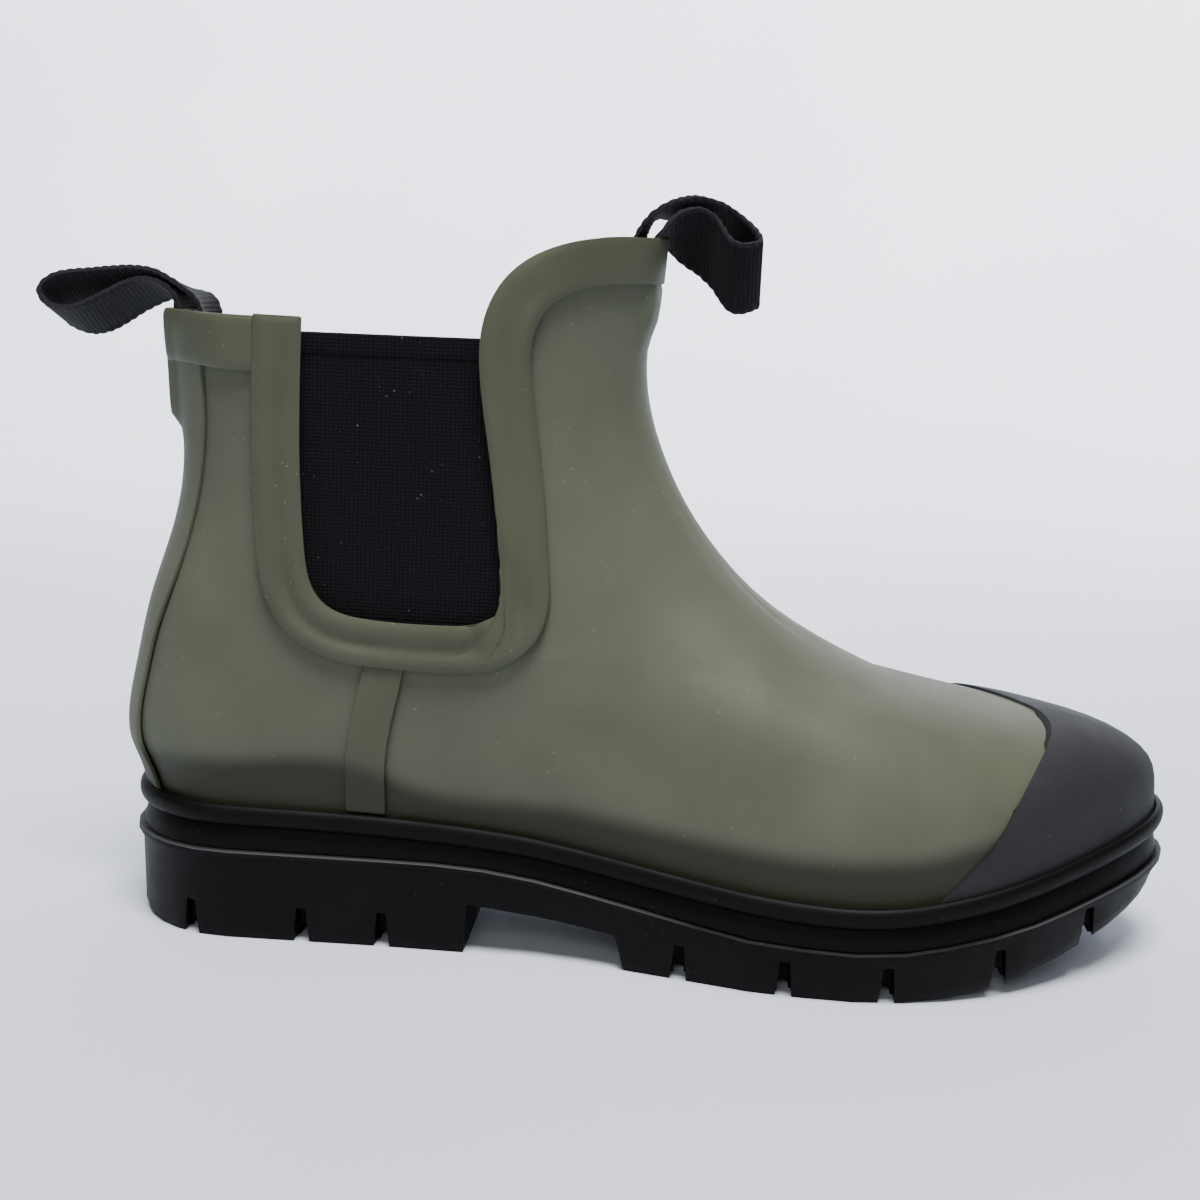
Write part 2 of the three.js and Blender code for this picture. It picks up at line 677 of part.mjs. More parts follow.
// Heel counter: a stiff cup between the quarters and their linings
function counterGeometry() {
  const reach = place(50, 50)[0];
  const topLine = (turn) => heightAt(turn, mix(86, 58, smooth(Math.abs(turn) / reach)));
  return patch({
    bottom: (u) => [mix(-reach, reach, u), 0.03],
    top: (u) => [mix(-reach, reach, u), topLine(mix(-reach, reach, u))],
    left: (v) => [-reach, mix(0.03, topLine(reach), v)],
    right: (v) => [reach, mix(0.03, topLine(reach), v)],
    columns: 22, rows: 6, low: counterLow, high: counterHigh,
  });
}
addPiece("heel_counter", counterGeometry(), colours.board, 0.9);

// Elastic panels with a turned hem along the top
const hemHeight = 4;
const goreTop = goreTopZ - hemHeight - seamGap;
function goreEdges() {
  const margin = -goreMargin;
  const heightOn = (k) => upperPoint(...goreLine(k, k, margin)(0)).z;
  const rearTop = -solve((k) => heightOn(-k), goreTop, -goreFootStart, 0);
  const frontTop = solve(heightOn, goreTop, goreFootEnd, goreFrontTop);
  const left = goreLine(goreFootStart, rearTop, margin);
  const right = goreLine(goreFootEnd, frontTop, margin);
  return {
    left,
    right,
    bottom: goreLine(goreFootStart, goreFootEnd, margin),
    top: (u) => {
      const turn = mix(left(1)[0], right(1)[0], u);
      return [turn, heightAt(turn, goreTop)];
    },
  };
}
function hemEdges() {
  const gore = goreEdges();
  const lowTurns = [gore.left(1)[0], gore.right(1)[0]];
  const line = (z) => (u) => {
    const turn = mix(lowTurns[0], lowTurns[1], u);
    return [turn, heightAt(turn, z)];
  };
  const bottom = line(goreTop + seamGap);
  const top = line(goreTopZ);
  const between = (u) => (v) => [bottom(u)[0], mix(bottom(u)[1], top(u)[1], v)];
  return { bottom, top, left: between(0), right: between(1) };
}
const gorePanel = {
  ...goreEdges(), columns: 10, rows: 8, low: -goreRecess - goreThickness, high: -goreRecess,
};
const hem = {
  ...hemEdges(), columns: 10, rows: 1, low: -goreRecess - goreThickness, high: 0.4 - goreRecess,
};
addPiece("outer_gore", patch(gorePanel), colours.goreBlack, 0.9);
addPiece("inner_gore", mirroredPatch(gorePanel), colours.goreBlack, 0.9);
addPiece("outer_gore_hem", patch(hem), colours.goreBlack, 0.9);
addPiece("inner_gore_hem", mirroredPatch(hem), colours.goreBlack, 0.9);

// Raised rubber border round each panel, one moulding with the front of the collar
function frameEdges() {
  const inner = evenly(goreLine(0, 1));
  const outer = evenly(goreLine(0, 1, -frameWidth));
  const ridgeStop = 1 - heelSeam;
  const held = (edge) => (u) => {
    const [turn, t] = edge(u);
    return [u === 1 ? ridgeStop : Math.min(turn, ridgeStop), t];
  };
  return {
    bottom: held(outer),
    top: held(inner),
    left: (v) => [mix(outer(0)[0], inner(0)[0], v), mix(outer(0)[1], inner(0)[1], v)],
    right: (v) => [ridgeStop, mix(outer(1)[1], inner(1)[1], v)],
  };
}
const bandFaces = { low: raised(layerGap), high: raised(layerGap + bandThickness) };
const goreFrame = { ...frameEdges(), columns: 46, rows: 2, ...bandFaces };
addPiece("outer_gore_frame", patch(goreFrame), colours.olive);
addPiece("inner_gore_frame", mirroredPatch(goreFrame), colours.olive);

// Rear collar band, back strip and the two side strips
const bandBottomZ = 158.5;
const bandEndX = 37.4;
function rearBandGeometry() {
  const reach = place(bandEndX, bandBottomZ)[0];
  const line = (z) => (u) => {
    const turn = mix(-reach, reach, u);
    const droop = 1.2 * smooth((Math.abs(turn) / reach - 0.5) * 2);
    return [turn, heightAt(turn, z - droop)];
  };
  const bottom = line(bandBottomZ);
  const top = line(collarBackZ);
  const between = (u) => (v) => [bottom(u)[0], mix(bottom(u)[1], top(u)[1], v)];
  const sides = { left: between(0), right: between(1) };
  return patch({ bottom, top, ...sides, columns: 30, rows: 4, ...bandFaces });
}
addPiece("rear_collar_band", rearBandGeometry(), colours.olive);

function backStripGeometry() {
  const side = backStripEdge(beadCrossing(backStripEdge), 0);
  const across = (v) => (u) => {
    const [turn, t] = side(v);
    const here = mix(-turn, turn, u);
    return [here, v === 0 ? overBead(here) : t];
  };
  return patch({
    left: otherSide(side),
    right: side,
    bottom: across(0),
    top: across(1),
    columns: 8, rows: 16, low: raised(stripLift), high: raised(stripLift + stripThickness),
  });
}
addPiece("back_strip", backStripGeometry(), colours.olive);

function sideStripEdges() {
  const left = stripRear(beadCrossing(stripRear), 0);
  const right = stripFront(beadCrossing(stripFront), 0);
  const across = (v) => (u) => [mix(left(v)[0], right(v)[0], u), mix(left(v)[1], right(v)[1], u)];
  return { left, right, bottom: across(0), top: across(1) };
}
const sideStrip = {
  ...sideStripEdges(), columns: 3, rows: 8, low: stripLift, high: stripLift + stripThickness,
};
addPiece("outer_side_strip", patch(sideStrip), colours.olive);
addPiece("inner_side_strip", mirroredPatch(sideStrip), colours.olive);

// Toe cap
const toeCapCorner = 0.4; // where the cap's edge turns from across the toe to down its side
function toeCapGeometry() {
  const foot = beadCrossing(toeCapLine);
  const left = toeCapLine(foot, toeCapCorner);
  const across = toeCapLine(toeCapCorner, 0);
  const drawn = 0.7; // share of this edge that follows the line; the rest runs on to the ridge
  const half = evenly((u) => {
    const [turn, t] = across(Math.min(1, u / drawn));
    const k = clamp((u - drawn) / (1 - drawn));
    return [mix(turn, 1, k), mix(t, heightAt(1, toeCapRidgeZ), smooth(k))];
  });
  const footTurn = left(0)[0];
  return patch({
    left,
    right: beyondRidge(left),
    top: (u) => (u < 0.5 ? half(2 * u) : beyondRidge(half)(2 - 2 * u)),
    bottom: (u) => {
      const turn = mix(footTurn, 2 - footTurn, u);
      return [turn, overBead(turn)];
    },
    columns: 30, rows: 6, low: layerGap, high: layerGap + capThickness,
  });
}
addPiece("toe_cap", toeCapGeometry(), colours.charcoal, 0.7);

// Webbing: each pull loop is one strip whose two ends are stitched in at the collar
function webbingEnd(turnAt, rimZ, { low, high }) {
  const beyond = turnAt === ridgeTurnAt ? 2 : 0;
  const point = (z, u) => {
    const across = mix(-webbingWidth / 2, webbingWidth / 2, u);
    const turn = turnAt(heightAt(beyond / 2, z), Math.abs(across));
    const here = across < 0 ? turn : beyond - turn;
    return [here, heightAt(here, z)];
  };
  const bottomZ = rimZ - tailLength;
  const topZ = rimZ + tailRise;
  return patch({
    bottom: (u) => point(bottomZ, u),
    top: (u) => point(topZ, u),
    left: (v) => point(mix(bottomZ, topZ, v), 0),
    right: (v) => point(mix(bottomZ, topZ, v), 1),
    columns: 6, rows: 6, low, high,
  });
}
const tailAbove = (height) => ({ low: height, high: height + webbingThickness });
const insideTail = tailAbove(liningHigh - liningThickness - layerGap - webbingThickness);

// A webbing strip through stations [x, y, z, degrees]: its outer edge, and how far its width
// has turned down from level about X.
function loopGeometry(stations) {
  const outerEdge = stations.map(([x, y, z]) => new THREE.Vector3(x, y, z));
  const innerEdge = stations.map(([x, y, z, degrees]) => {
    const turned = THREE.MathUtils.degToRad(degrees);
    return new THREE.Vector3(
      x, y + webbingWidth * Math.cos(turned), z - webbingWidth * Math.sin(turned),
    );
  });
  const curves = [outerEdge, innerEdge].map(
    (edge) => new THREE.CatmullRomCurve3(edge, false, "centripetal"),
  );
  const point = (k, u) => curves[0].getPoint(clamp(k)).lerp(curves[1].getPoint(clamp(k)), u);
  const steps = 2 * (stations.length - 1);
  const across = 4;
  const grids = [webbingThickness / 2, -webbingThickness / 2].map((lift) => {
    const grid = [];
    for (let j = 0; j <= steps; j++) {
      const k = j / steps;
      const row = [];
      for (let i = 0; i <= across; i++) {
        const u = i / across;
        const along = point(k + 0.5 / steps, u).sub(point(k - 0.5 / steps, u));
        const sideways = point(k, 1).sub(point(k, 0));
        row.push(point(k, u).addScaledVector(along.cross(sideways).normalize(), lift));
      }
      grid.push(row);
    }
    return grid;
  });
  return sheetSolid(grids[0], grids[1]);
}

const rearLoop = loopGeometry([
  [13, -10, 176.8, 0], [10.9, -9.8, 178.3, 2], [6.9, -9.4, 180.6, 9], [2.5, -9, 182.4, 15],
  [-3.3, -8.4, 183, 22], [-9.4, -7.8, 182.6, 25.5], [-15.5, -7.4, 181.9, 26], [-21.4, -7.7, 181.2, 21.5],
  [-25.6, -8.2, 180.1, 18.5], [-28.6, -8.8, 178, 17], [-29.6, -9.5, 175.7, 17], [-28.7, -10, 173.7, 17],
  [-26.5, -10.3, 172, 18], [-22.4, -10.5, 171.4, 21],
  [-18.5, -10.4, 172.1, 24], [-13.8, -10.3, 174.2, 26.5],
  [-9.1, -10, 176.7, 25.5], [-5.2, -9.9, 178.7, 23.5], [-0.8, -9.8, 180, 20], [3, -9.8, 179.6, 14],
  [6.7, -9.9, 177.9, 8], [9.2, -10, 176.2, 2],
]);
const rearOuterEnd = webbingEnd(heelTurnAt, collarBackZ, tailAbove(layerGap));
const rearInnerEnd = webbingEnd(heelTurnAt, collarBackZ, insideTail);
addPiece("rear_pull_loop", rearLoop, colours.webbing, 0.9);
addPiece("rear_loop_outer_end", rearOuterEnd, colours.webbing, 0.9);
addPiece("rear_loop_inner_end", rearInnerEnd, colours.webbing, 0.9);

const frontLoop = loopGeometry([
  [138.2, -10, 200.2, 0], [140.4, -9.6, 202.4, 4], [143, -8.8, 204.6, 10], [146.8, -7.4, 206.5, 23],
  [151.8, -4.2, 207.7, 54], [157.7, 0.3, 206.9, 80], [162, 2.2, 204.8, 79], [166.2, 1.4, 201.5, 72],
  [168.7, -1.4, 198.8, 68], [169.4, -4.1, 196.7, 66], [167.4, -5.8, 196, 69], [165.1, -6.4, 195.6, 72],
  [162.8, -6.2, 196, 76], [160.7, -5.2, 197.5, 80], [158.8, -4.2, 200.2, 82], [156.6, -4, 203, 78],
  [153, -5, 204.6, 60], [149.6, -6.8, 204.3, 40], [146.3, -8.4, 203.3, 21], [143.4, -9.5, 201.4, 9],
  [141, -10, 199.2, 1],
]);
const frontOuterEnd = webbingEnd(ridgeTurnAt, collarFrontZ, tailAbove(liningHigh + layerGap));
const frontInnerEnd = webbingEnd(ridgeTurnAt, collarFrontZ, insideTail);
addPiece("front_pull_loop", frontLoop, colours.webbing, 0.9);
addPiece("front_loop_outer_end", frontOuterEnd, colours.webbing, 0.9);
addPiece("front_loop_inner_end", frontInnerEnd, colours.webbing, 0.9);

// The origin is under the middle of the whole boot, on the ground
const box = new THREE.Box3().setFromObject(boot);
boot.position.set(-(box.min.x + box.max.x) / 2, -(box.min.y + box.max.y) / 2, -box.min.z);

export default boot;
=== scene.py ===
# Ankle-high rubber rain boot with elastic side panels and webbing pull loops.
# Everything is in metres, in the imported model's own frame: toe +X, outer side -Y, ground at Z 0.
import math
import bpy
from mathutils import Matrix, Vector, kdtree, noise


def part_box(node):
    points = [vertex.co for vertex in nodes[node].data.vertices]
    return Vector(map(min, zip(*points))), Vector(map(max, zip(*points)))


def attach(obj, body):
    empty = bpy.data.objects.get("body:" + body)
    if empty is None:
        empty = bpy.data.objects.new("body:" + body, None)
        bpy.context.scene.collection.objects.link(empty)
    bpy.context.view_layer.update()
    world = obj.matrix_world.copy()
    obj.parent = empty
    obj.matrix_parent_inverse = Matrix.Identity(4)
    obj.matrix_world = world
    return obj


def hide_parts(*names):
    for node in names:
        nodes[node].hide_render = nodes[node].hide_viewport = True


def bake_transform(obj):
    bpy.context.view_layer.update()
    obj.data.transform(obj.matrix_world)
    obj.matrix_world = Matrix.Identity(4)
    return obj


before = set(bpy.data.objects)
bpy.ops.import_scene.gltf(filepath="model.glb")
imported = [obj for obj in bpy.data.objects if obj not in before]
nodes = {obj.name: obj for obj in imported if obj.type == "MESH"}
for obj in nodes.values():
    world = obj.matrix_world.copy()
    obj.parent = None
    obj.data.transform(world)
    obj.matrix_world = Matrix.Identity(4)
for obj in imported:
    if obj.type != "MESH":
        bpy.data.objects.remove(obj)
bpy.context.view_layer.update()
mm = 0.001
# the shaping below is written in mm from the heel; its x = 0 lies 3 mm inside the sole's back end
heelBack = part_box("outsole")[0].x + 3 * mm
drawingY = 0.62 * mm
print("frame loaded,", len(nodes), "nodes")


# Small helpers
def place(x, y, z):
    # a point of the drawing, in mm from the heel, as a point of the frame
    return Vector((heelBack + x * mm, drawingY + y * mm, z * mm))


def drawn(co):
    # the reverse: a point of the frame as mm on the drawing
    return (co.x - heelBack) / mm, (co.y - drawingY) / mm, co.z / mm


def ease(value, start, end):
    # a soft step from 0 at start to 1 at end, which may lie below start
    t = min(max((value - start) / (end - start), 0), 1)
    return t * t * (3 - 2 * t)


def between(value, starts, full, fades, gone):
    # rises from starts to full, stays 1 up to fades, and is 0 again from gone on
    return ease(value, starts, full) * (1 - ease(value, fades, gone))


def along(values, k):
    # a smooth curve through evenly numbered values
    k = min(max(k, 0), len(values) - 1.0001)
    i = int(k)
    t = k - i
    p = [values[min(max(i + n, 0), len(values) - 1)] for n in (-1, 0, 1, 2)]
    return 0.5 * (2 * p[1] + (p[2] - p[0]) * t + (2 * p[0] - 5 * p[1] + 4 * p[2] - p[3]) * t * t
                  + (3 * p[1] - p[0] - 3 * p[2] + p[3]) * t ** 3)


def pick(piece):
    bpy.ops.object.select_all(action="DESELECT")
    piece.select_set(True)
    bpy.context.view_layer.objects.active = piece


def finishModifiers(piece):
    pick(piece)
    for modifier in list(piece.modifiers):
        bpy.ops.object.modifier_apply(modifier=modifier.name)


def copyOfNode(nodeName, pieceName):
    # the node's mesh is loose triangles, so the copy is merged and turned back into quads
    mesh = nodes[nodeName].data.copy()
    mesh.materials.clear()
    piece = bpy.data.objects.new(pieceName, mesh)
    bpy.context.scene.collection.objects.link(piece)
    pick(piece)
    bpy.ops.mesh.customdata_custom_splitnormals_clear()
    bpy.ops.object.mode_set(mode="EDIT")
    bpy.ops.mesh.select_all(action="SELECT")
    bpy.ops.mesh.remove_doubles(threshold=0.00002)
    bpy.ops.mesh.tris_convert_to_quads(face_threshold=math.radians(55), shape_threshold=math.radians(75))
    bpy.ops.object.mode_set(mode="OBJECT")
    return piece


def addBevel(piece, width, segments=2, angle=50):
    modifier = piece.modifiers.new("edges", "BEVEL")
    modifier.width = width * mm
    modifier.segments = segments
    modifier.limit_method = "ANGLE"
    modifier.angle_limit = math.radians(angle)
    modifier.use_clamp_overlap = True


def addSmoothing(piece, levels):
    modifier = piece.modifiers.new("smooth", "SUBSURF")
    modifier.levels = levels
    modifier.render_levels = levels


def shadeSmooth(piece, angle=40):
    pick(piece)
    bpy.ops.object.shade_smooth_by_angle(angle=math.radians(angle))


def dress(piece, material, body="boot", stands=None):
    piece.data.materials.clear()
    piece.data.materials.append(material)
    if stands:
        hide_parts(*stands)
    if body:
        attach(piece, body)


# the soft line above the welt where the wall turns into the top of the foot: x and height, in mm
shoulderLine = [
    (-5, 53), (28, 54), (61, 55.8), (90, 47.6), (121, 46.5), (140, 44.7), (159, 42.8), (177, 41.2),
    (195, 40.5), (208, 40.8), (222, 42.3), (235, 45.3), (253, 49.8), (268, 53), (279, 55), (300, 57),
]


# Materials
def linear(code):
    # an sRGB hex colour as the linear values a shader wants
    values = [int(code[i:i + 2], 16) / 255 for i in (0, 2, 4)]
    return tuple(v / 12.92 if v <= 0.04045 else ((v + 0.055) / 1.055) ** 2.4 for v in values) + (1,)


def connect(tree, node, inputs):
    # an input is given as a value, a socket, or a node, which stands for its first output
    for name, value in inputs.items():
        if isinstance(value, bpy.types.Node):
            value = value.outputs[0]
        if isinstance(value, bpy.types.NodeSocket):
            tree.links.new(value, node.inputs[name])
        else:
            node.inputs[name].default_value = value


def addNode(tree, kind, settings=None, inputs=None):
    node = tree.nodes.new(kind)
    for name, value in (settings or {}).items():
        setattr(node, name, value)
    connect(tree, node, inputs or {})
    return node


def newMaterial(name):
    material = bpy.data.materials.new(name)
    material.use_nodes = True
    tree = material.node_tree
    tree.nodes.clear()
    shader = addNode(tree, "ShaderNodeBsdfPrincipled")
    addNode(tree, "ShaderNodeOutputMaterial", inputs={"Surface": shader})
    coords = addNode(tree, "ShaderNodeTexCoord")
    return material, tree, shader, coords


# a colour mix takes its factor at 0 and its colours at 6 and 7, and gives the result at 2
colourMix = {"data_type": "RGBA"}

oliveLook = {
    "base": "4e5142", "light": "575a4b", "dark": "444738", "dust": "8c927c",
    "roughness": 0.6, "shine": 0.22, "grain": 0.05, "wallShade": 0.86,
}
# the frames, the rear band and the side strips: the olive rubber made darker, as painted shade for their
# down- and outward-facing faces, and a little yellower in tone
trimShadeLook = {
    "base": "434636", "light": "4b4e3d", "dark": "3a3d2e", "dust": "8c927c",
    "roughness": 0.56, "shine": 0.24, "grain": 0.05, "wallShade": 0.8,
}
capLook = {
    "base": "262628", "light": "2b2b2e", "dark": "212123", "dust": "707274",
    "roughness": 0.66, "shine": 0.16, "grain": 0.08,
}
# the sole's lip colour is a painted highlight on the top edge of the outsole's lip
soleLook = {
    "base": "070606", "light": "0a0909", "dark": "040404", "dust": "48484a",
    "roughness": 0.52, "shine": 0.09, "grain": 0.06, "lip": "414244",
}
# the colour of the painted shade on the low wall below the shoulder line
wallShadeColour = "1f2114"
# the stretch of the shoulder line and its height range, in mm
wall = {"x": -5, "length": 300, "height": 100}


def belowShoulder(tree, where):
    # the mask of the painted shade: 1 on the low wall next to the welt, 0 above the shoulder line, whose
    # height changes along the foot
    axes = addNode(tree, "ShaderNodeSeparateXYZ", inputs={"Vector": where})
    start = heelBack + wall["x"] * mm
    length = addNode(tree, "ShaderNodeMapRange", inputs={
        "Value": axes.outputs["X"], "From Min": start, "From Max": start + wall["length"] * mm})
    line = addNode(tree, "ShaderNodeFloatCurve", inputs={"Value": length})
    points = line.mapping.curves[0].points
    points[0].location = (0, 0.53)
    points[1].location = (1, 0.56)
    for x, z in shoulderLine[1:-1]:
        points.new((x - wall["x"]) / wall["length"], z / wall["height"])
    line.mapping.update()
    height = addNode(tree, "ShaderNodeMath", {"operation": "DIVIDE"}, {
        0: axes.outputs["Z"], 1: wall["height"] * mm})
    gap = addNode(tree, "ShaderNodeMath", {"operation": "SUBTRACT"}, {0: line, 1: height})
    return addNode(tree, "ShaderNodeMapRange", {"interpolation_type": "SMOOTHSTEP"}, {
        "Value": gap, "From Min": -0.01, "From Max": 0.065})


def dippedRubber(name, look):
    # natural rubber, dipped and vulcanised, with a matte skin: the eye gets an even colour that clouds
    # a little over 35 mm, pin-prick dust in patches, and a satin sheen broken by a grain of about 1 mm
    material, tree, shader, coords = newMaterial(name)
    where = coords.outputs["Object"]
    clouds = addNode(tree, "ShaderNodeTexNoise", inputs={
        "Vector": where, "Scale": 28, "Detail": 4, "Roughness": 0.55})
    cloudy = addNode(tree, "ShaderNodeMapRange", inputs={"Value": clouds, "From Min": 0.35, "From Max": 0.68})
    tone = addNode(tree, "ShaderNodeMix", colourMix, {
        0: cloudy, 6: linear(look["dark"]), 7: linear(look["light"])})
    colour = addNode(tree, "ShaderNodeMix", colourMix, {0: 0.6, 6: tone.outputs[2], 7: linear(look["base"])})
    # dust: dots about 0.5 mm wide, only where the slower noise is high
    cells = addNode(tree, "ShaderNodeTexVoronoi", {"feature": "F1"}, {
        "Vector": where, "Scale": 330, "Randomness": 1})
    dots = addNode(tree, "ShaderNodeMapRange", inputs={
        "Value": cells, "From Min": 0.075, "From Max": 0.12, "To Min": 1, "To Max": 0})
    patches = addNode(tree, "ShaderNodeTexNoise", inputs={"Vector": where, "Scale": 90, "Detail": 1})
    kept = addNode(tree, "ShaderNodeMapRange", inputs={
        "Value": patches, "From Min": 0.52, "From Max": 0.66, "To Min": 0, "To Max": 0.3})
    dusty = addNode(tree, "ShaderNodeMath", {"operation": "MULTIPLY"}, {0: dots, 1: kept})
    colour = addNode(tree, "ShaderNodeMix", colourMix, {
        0: dusty, 6: colour.outputs[2], 7: linear(look["dust"])})
    if "lip" in look:
        # painted highlight: the lip's rounded top edge, which faces up towards the lamps, is painted a
        # lighter grey
        lip = addNode(tree, "ShaderNodeAttribute", {"attribute_name": "lip"})
        colour = addNode(tree, "ShaderNodeMix", colourMix, {
            0: lip.outputs["Fac"], 6: colour.outputs[2], 7: linear(look["lip"])})
    if "wallShade" in look:
        # painted shade: the low wall between the welt and the shoulder line is darkened, standing for the
        # shade where the wall turns under the shoulder
        shadedWall = addNode(tree, "ShaderNodeMath", {"operation": "MULTIPLY"}, {
            0: belowShoulder(tree, where), 1: look["wallShade"]})
        colour = addNode(tree, "ShaderNodeMix", colourMix, {
            0: shadedWall, 6: colour.outputs[2], 7: linear(wallShadeColour)})
    # scuffing shows as slow changes of gloss
    wear = addNode(tree, "ShaderNodeTexNoise", inputs={
        "Vector": where, "Scale": 45, "Detail": 6, "Roughness": 0.7})
    gloss = addNode(tree, "ShaderNodeMapRange", inputs={
        "Value": wear, "From Min": 0.3, "From Max": 0.7,
        "To Min": look["roughness"] - 0.05, "To Max": look["roughness"] + 0.08})
    slow = addNode(tree, "ShaderNodeTexNoise", inputs={
        "Vector": where, "Scale": 55, "Detail": 2, "Roughness": 0.5})
    swell = addNode(tree, "ShaderNodeBump", inputs={"Height": slow, "Strength": 0.12, "Distance": 0.0012})
    grain = addNode(tree, "ShaderNodeTexNoise", inputs={
        "Vector": where, "Scale": 900, "Detail": 2, "Roughness": 0.6})
    skin = addNode(tree, "ShaderNodeBump", inputs={
        "Height": grain, "Strength": look["grain"], "Distance": 0.0003, "Normal": swell})
    connect(tree, shader, {
        "Base Color": colour.outputs[2], "Roughness": gloss, "IOR": 1.52,
        "Specular IOR Level": look["shine"], "Normal": skin})
    return material


knit = {
    # mm between ribs and between courses; real knit is about 0.7, drawn coarser to show
    "rib": 1.15,
    "row": 0.95,
    "dark": "030304",
    "light": "0e0d13",
    "lint": "5a5b62",
}


def elasticKnit(name):
    # covered-elastic gore, knitted in upright ribs: black yarn with a dull fuzz and a few light lint specks
    material, tree, shader, coords = newMaterial(name)
    where = coords.outputs["Object"]
    axes = addNode(tree, "ShaderNodeSeparateXYZ", inputs={"Vector": where})
    waves = []
    for axis, pitch in (("X", knit["rib"]), ("Z", knit["row"])):
        phase = addNode(tree, "ShaderNodeMath", {"operation": "MULTIPLY"}, {
            0: axes.outputs[axis], 1: 2 * math.pi / (pitch * mm)})
        waves.append(addNode(tree, "ShaderNodeMath", {"operation": "SINE"}, {0: phase}))
    rows = addNode(tree, "ShaderNodeMath", {"operation": "MULTIPLY"}, {0: waves[1], 1: 0.4})
    stitches = addNode(tree, "ShaderNodeMath", {"operation": "ADD"}, {0: waves[0], 1: rows})
    fuzz = addNode(tree, "ShaderNodeTexNoise", inputs={"Vector": where, "Scale": 1400, "Detail": 3})
    height = addNode(tree, "ShaderNodeMath", {"operation": "ADD"}, {0: stitches, 1: fuzz})
    lit = addNode(tree, "ShaderNodeMapRange", inputs={"Value": height, "From Min": -0.86, "From Max": 1.86})
    yarn = addNode(tree, "ShaderNodeMix", colourMix, {
        0: lit, 6: linear(knit["dark"]), 7: linear(knit["light"])})
    cells = addNode(tree, "ShaderNodeTexVoronoi", {"feature": "F1"}, {"Vector": where, "Scale": 360})
    specks = addNode(tree, "ShaderNodeMapRange", inputs={
        "Value": cells, "From Min": 0.06, "From Max": 0.1, "To Min": 1, "To Max": 0})
    patches = addNode(tree, "ShaderNodeTexNoise", inputs={"Vector": where, "Scale": 60})
    kept = addNode(tree, "ShaderNodeMapRange", inputs={"Value": patches, "From Min": 0.5, "From Max": 0.6})
    lint = addNode(tree, "ShaderNodeMath", {"operation": "MULTIPLY"}, {0: specks, 1: kept})
    colour = addNode(tree, "ShaderNodeMix", colourMix, {0: lint, 6: yarn.outputs[2], 7: linear(knit["lint"])})
    bump = addNode(tree, "ShaderNodeBump", inputs={"Height": height, "Strength": 0.6, "Distance": 0.0003})
    connect(tree, shader, {
        "Base Color": colour.outputs[2], "Roughness": 0.9, "Specular IOR Level": 0.12,
        "Sheen Weight": 0.04, "Normal": bump})
    return material


def wovenTape(name):
    # polyester grosgrain webbing: the ribs are in the mesh, so this adds the yarn's fuzz and its lighter edge
    material, tree, shader, coords = newMaterial(name)
    axes = addNode(tree, "ShaderNodeSeparateXYZ", inputs={"Vector": coords.outputs["UV"]})
    off = addNode(tree, "ShaderNodeMath", {"operation": "SUBTRACT"}, {0: axes.outputs["Y"], 1: 0.5})
    side = addNode(tree, "ShaderNodeMath", {"operation": "ABSOLUTE"}, {0: off})
    edge = addNode(tree, "ShaderNodeMapRange", inputs={"Value": side, "From Min": 0.42, "From Max": 0.47})
    yarn = addNode(tree, "ShaderNodeTexNoise", inputs={
        "Vector": coords.outputs["Object"], "Scale": 1500, "Detail": 3, "Roughness": 0.7})
    fibre = addNode(tree, "ShaderNodeMapRange", inputs={"Value": yarn, "From Min": 0.3, "From Max": 0.75})
    body = addNode(tree, "ShaderNodeMix", colourMix, {0: fibre, 6: linear("060607"), 7: linear("141317")})
    rim = addNode(tree, "ShaderNodeMix", colourMix, {0: fibre, 6: linear("0e0e10"), 7: linear("232228")})
    colour = addNode(tree, "ShaderNodeMix", colourMix, {0: edge, 6: body.outputs[2], 7: rim.outputs[2]})
    bump = addNode(tree, "ShaderNodeBump", inputs={"Height": yarn, "Strength": 0.45, "Distance": 0.0002})
    connect(tree, shader, {
        "Base Color": colour.outputs[2], "Roughness": 0.82, "Specular IOR Level": 0.15,
        "Sheen Weight": 0.05, "Normal": bump})
    return material


def plainFabric(name, dark, light, pitch=1.0):
    # brushed cotton jersey: a fine even weave, its pitch in mm, with soft fibre noise
    material, tree, shader, coords = newMaterial(name)
    weave = addNode(tree, "ShaderNodeTexNoise", inputs={
        "Vector": coords.outputs["Object"], "Scale": 1000 / pitch, "Detail": 4, "Roughness": 0.7})
    fibre = addNode(tree, "ShaderNodeMapRange", inputs={"Value": weave, "From Min": 0.3, "From Max": 0.7})
    colour = addNode(tree, "ShaderNodeMix", colourMix, {0: fibre, 6: linear(dark), 7: linear(light)})
    bump = addNode(tree, "ShaderNodeBump", inputs={"Height": weave, "Strength": 0.5, "Distance": 0.0003})
    connect(tree, shader, {"Base Color": colour.outputs[2], "Roughness": 0.93, "Normal": bump})
    return material


def grained(name, dark, light, roughness, metallic=0.0, scale=(40, 400, 400)):
    # stretched noise: pressed fibre in the board, granules in cork, brushing on the spring steel
    material, tree, shader, coords = newMaterial(name)
    mapping = addNode(tree, "ShaderNodeMapping", inputs={"Vector": coords.outputs["Object"], "Scale": scale})
    grain = addNode(tree, "ShaderNodeTexNoise", inputs={"Vector": mapping, "Scale": 1, "Detail": 4})
    streaks = addNode(tree, "ShaderNodeMapRange", inputs={"Value": grain, "From Min": 0.3, "From Max": 0.7})
    colour = addNode(tree, "ShaderNodeMix", colourMix, {0: streaks, 6: linear(dark), 7: linear(light)})
    connect(tree, shader, {"Base Color": colour.outputs[2], "Roughness": roughness, "Metallic": metallic})
    return material


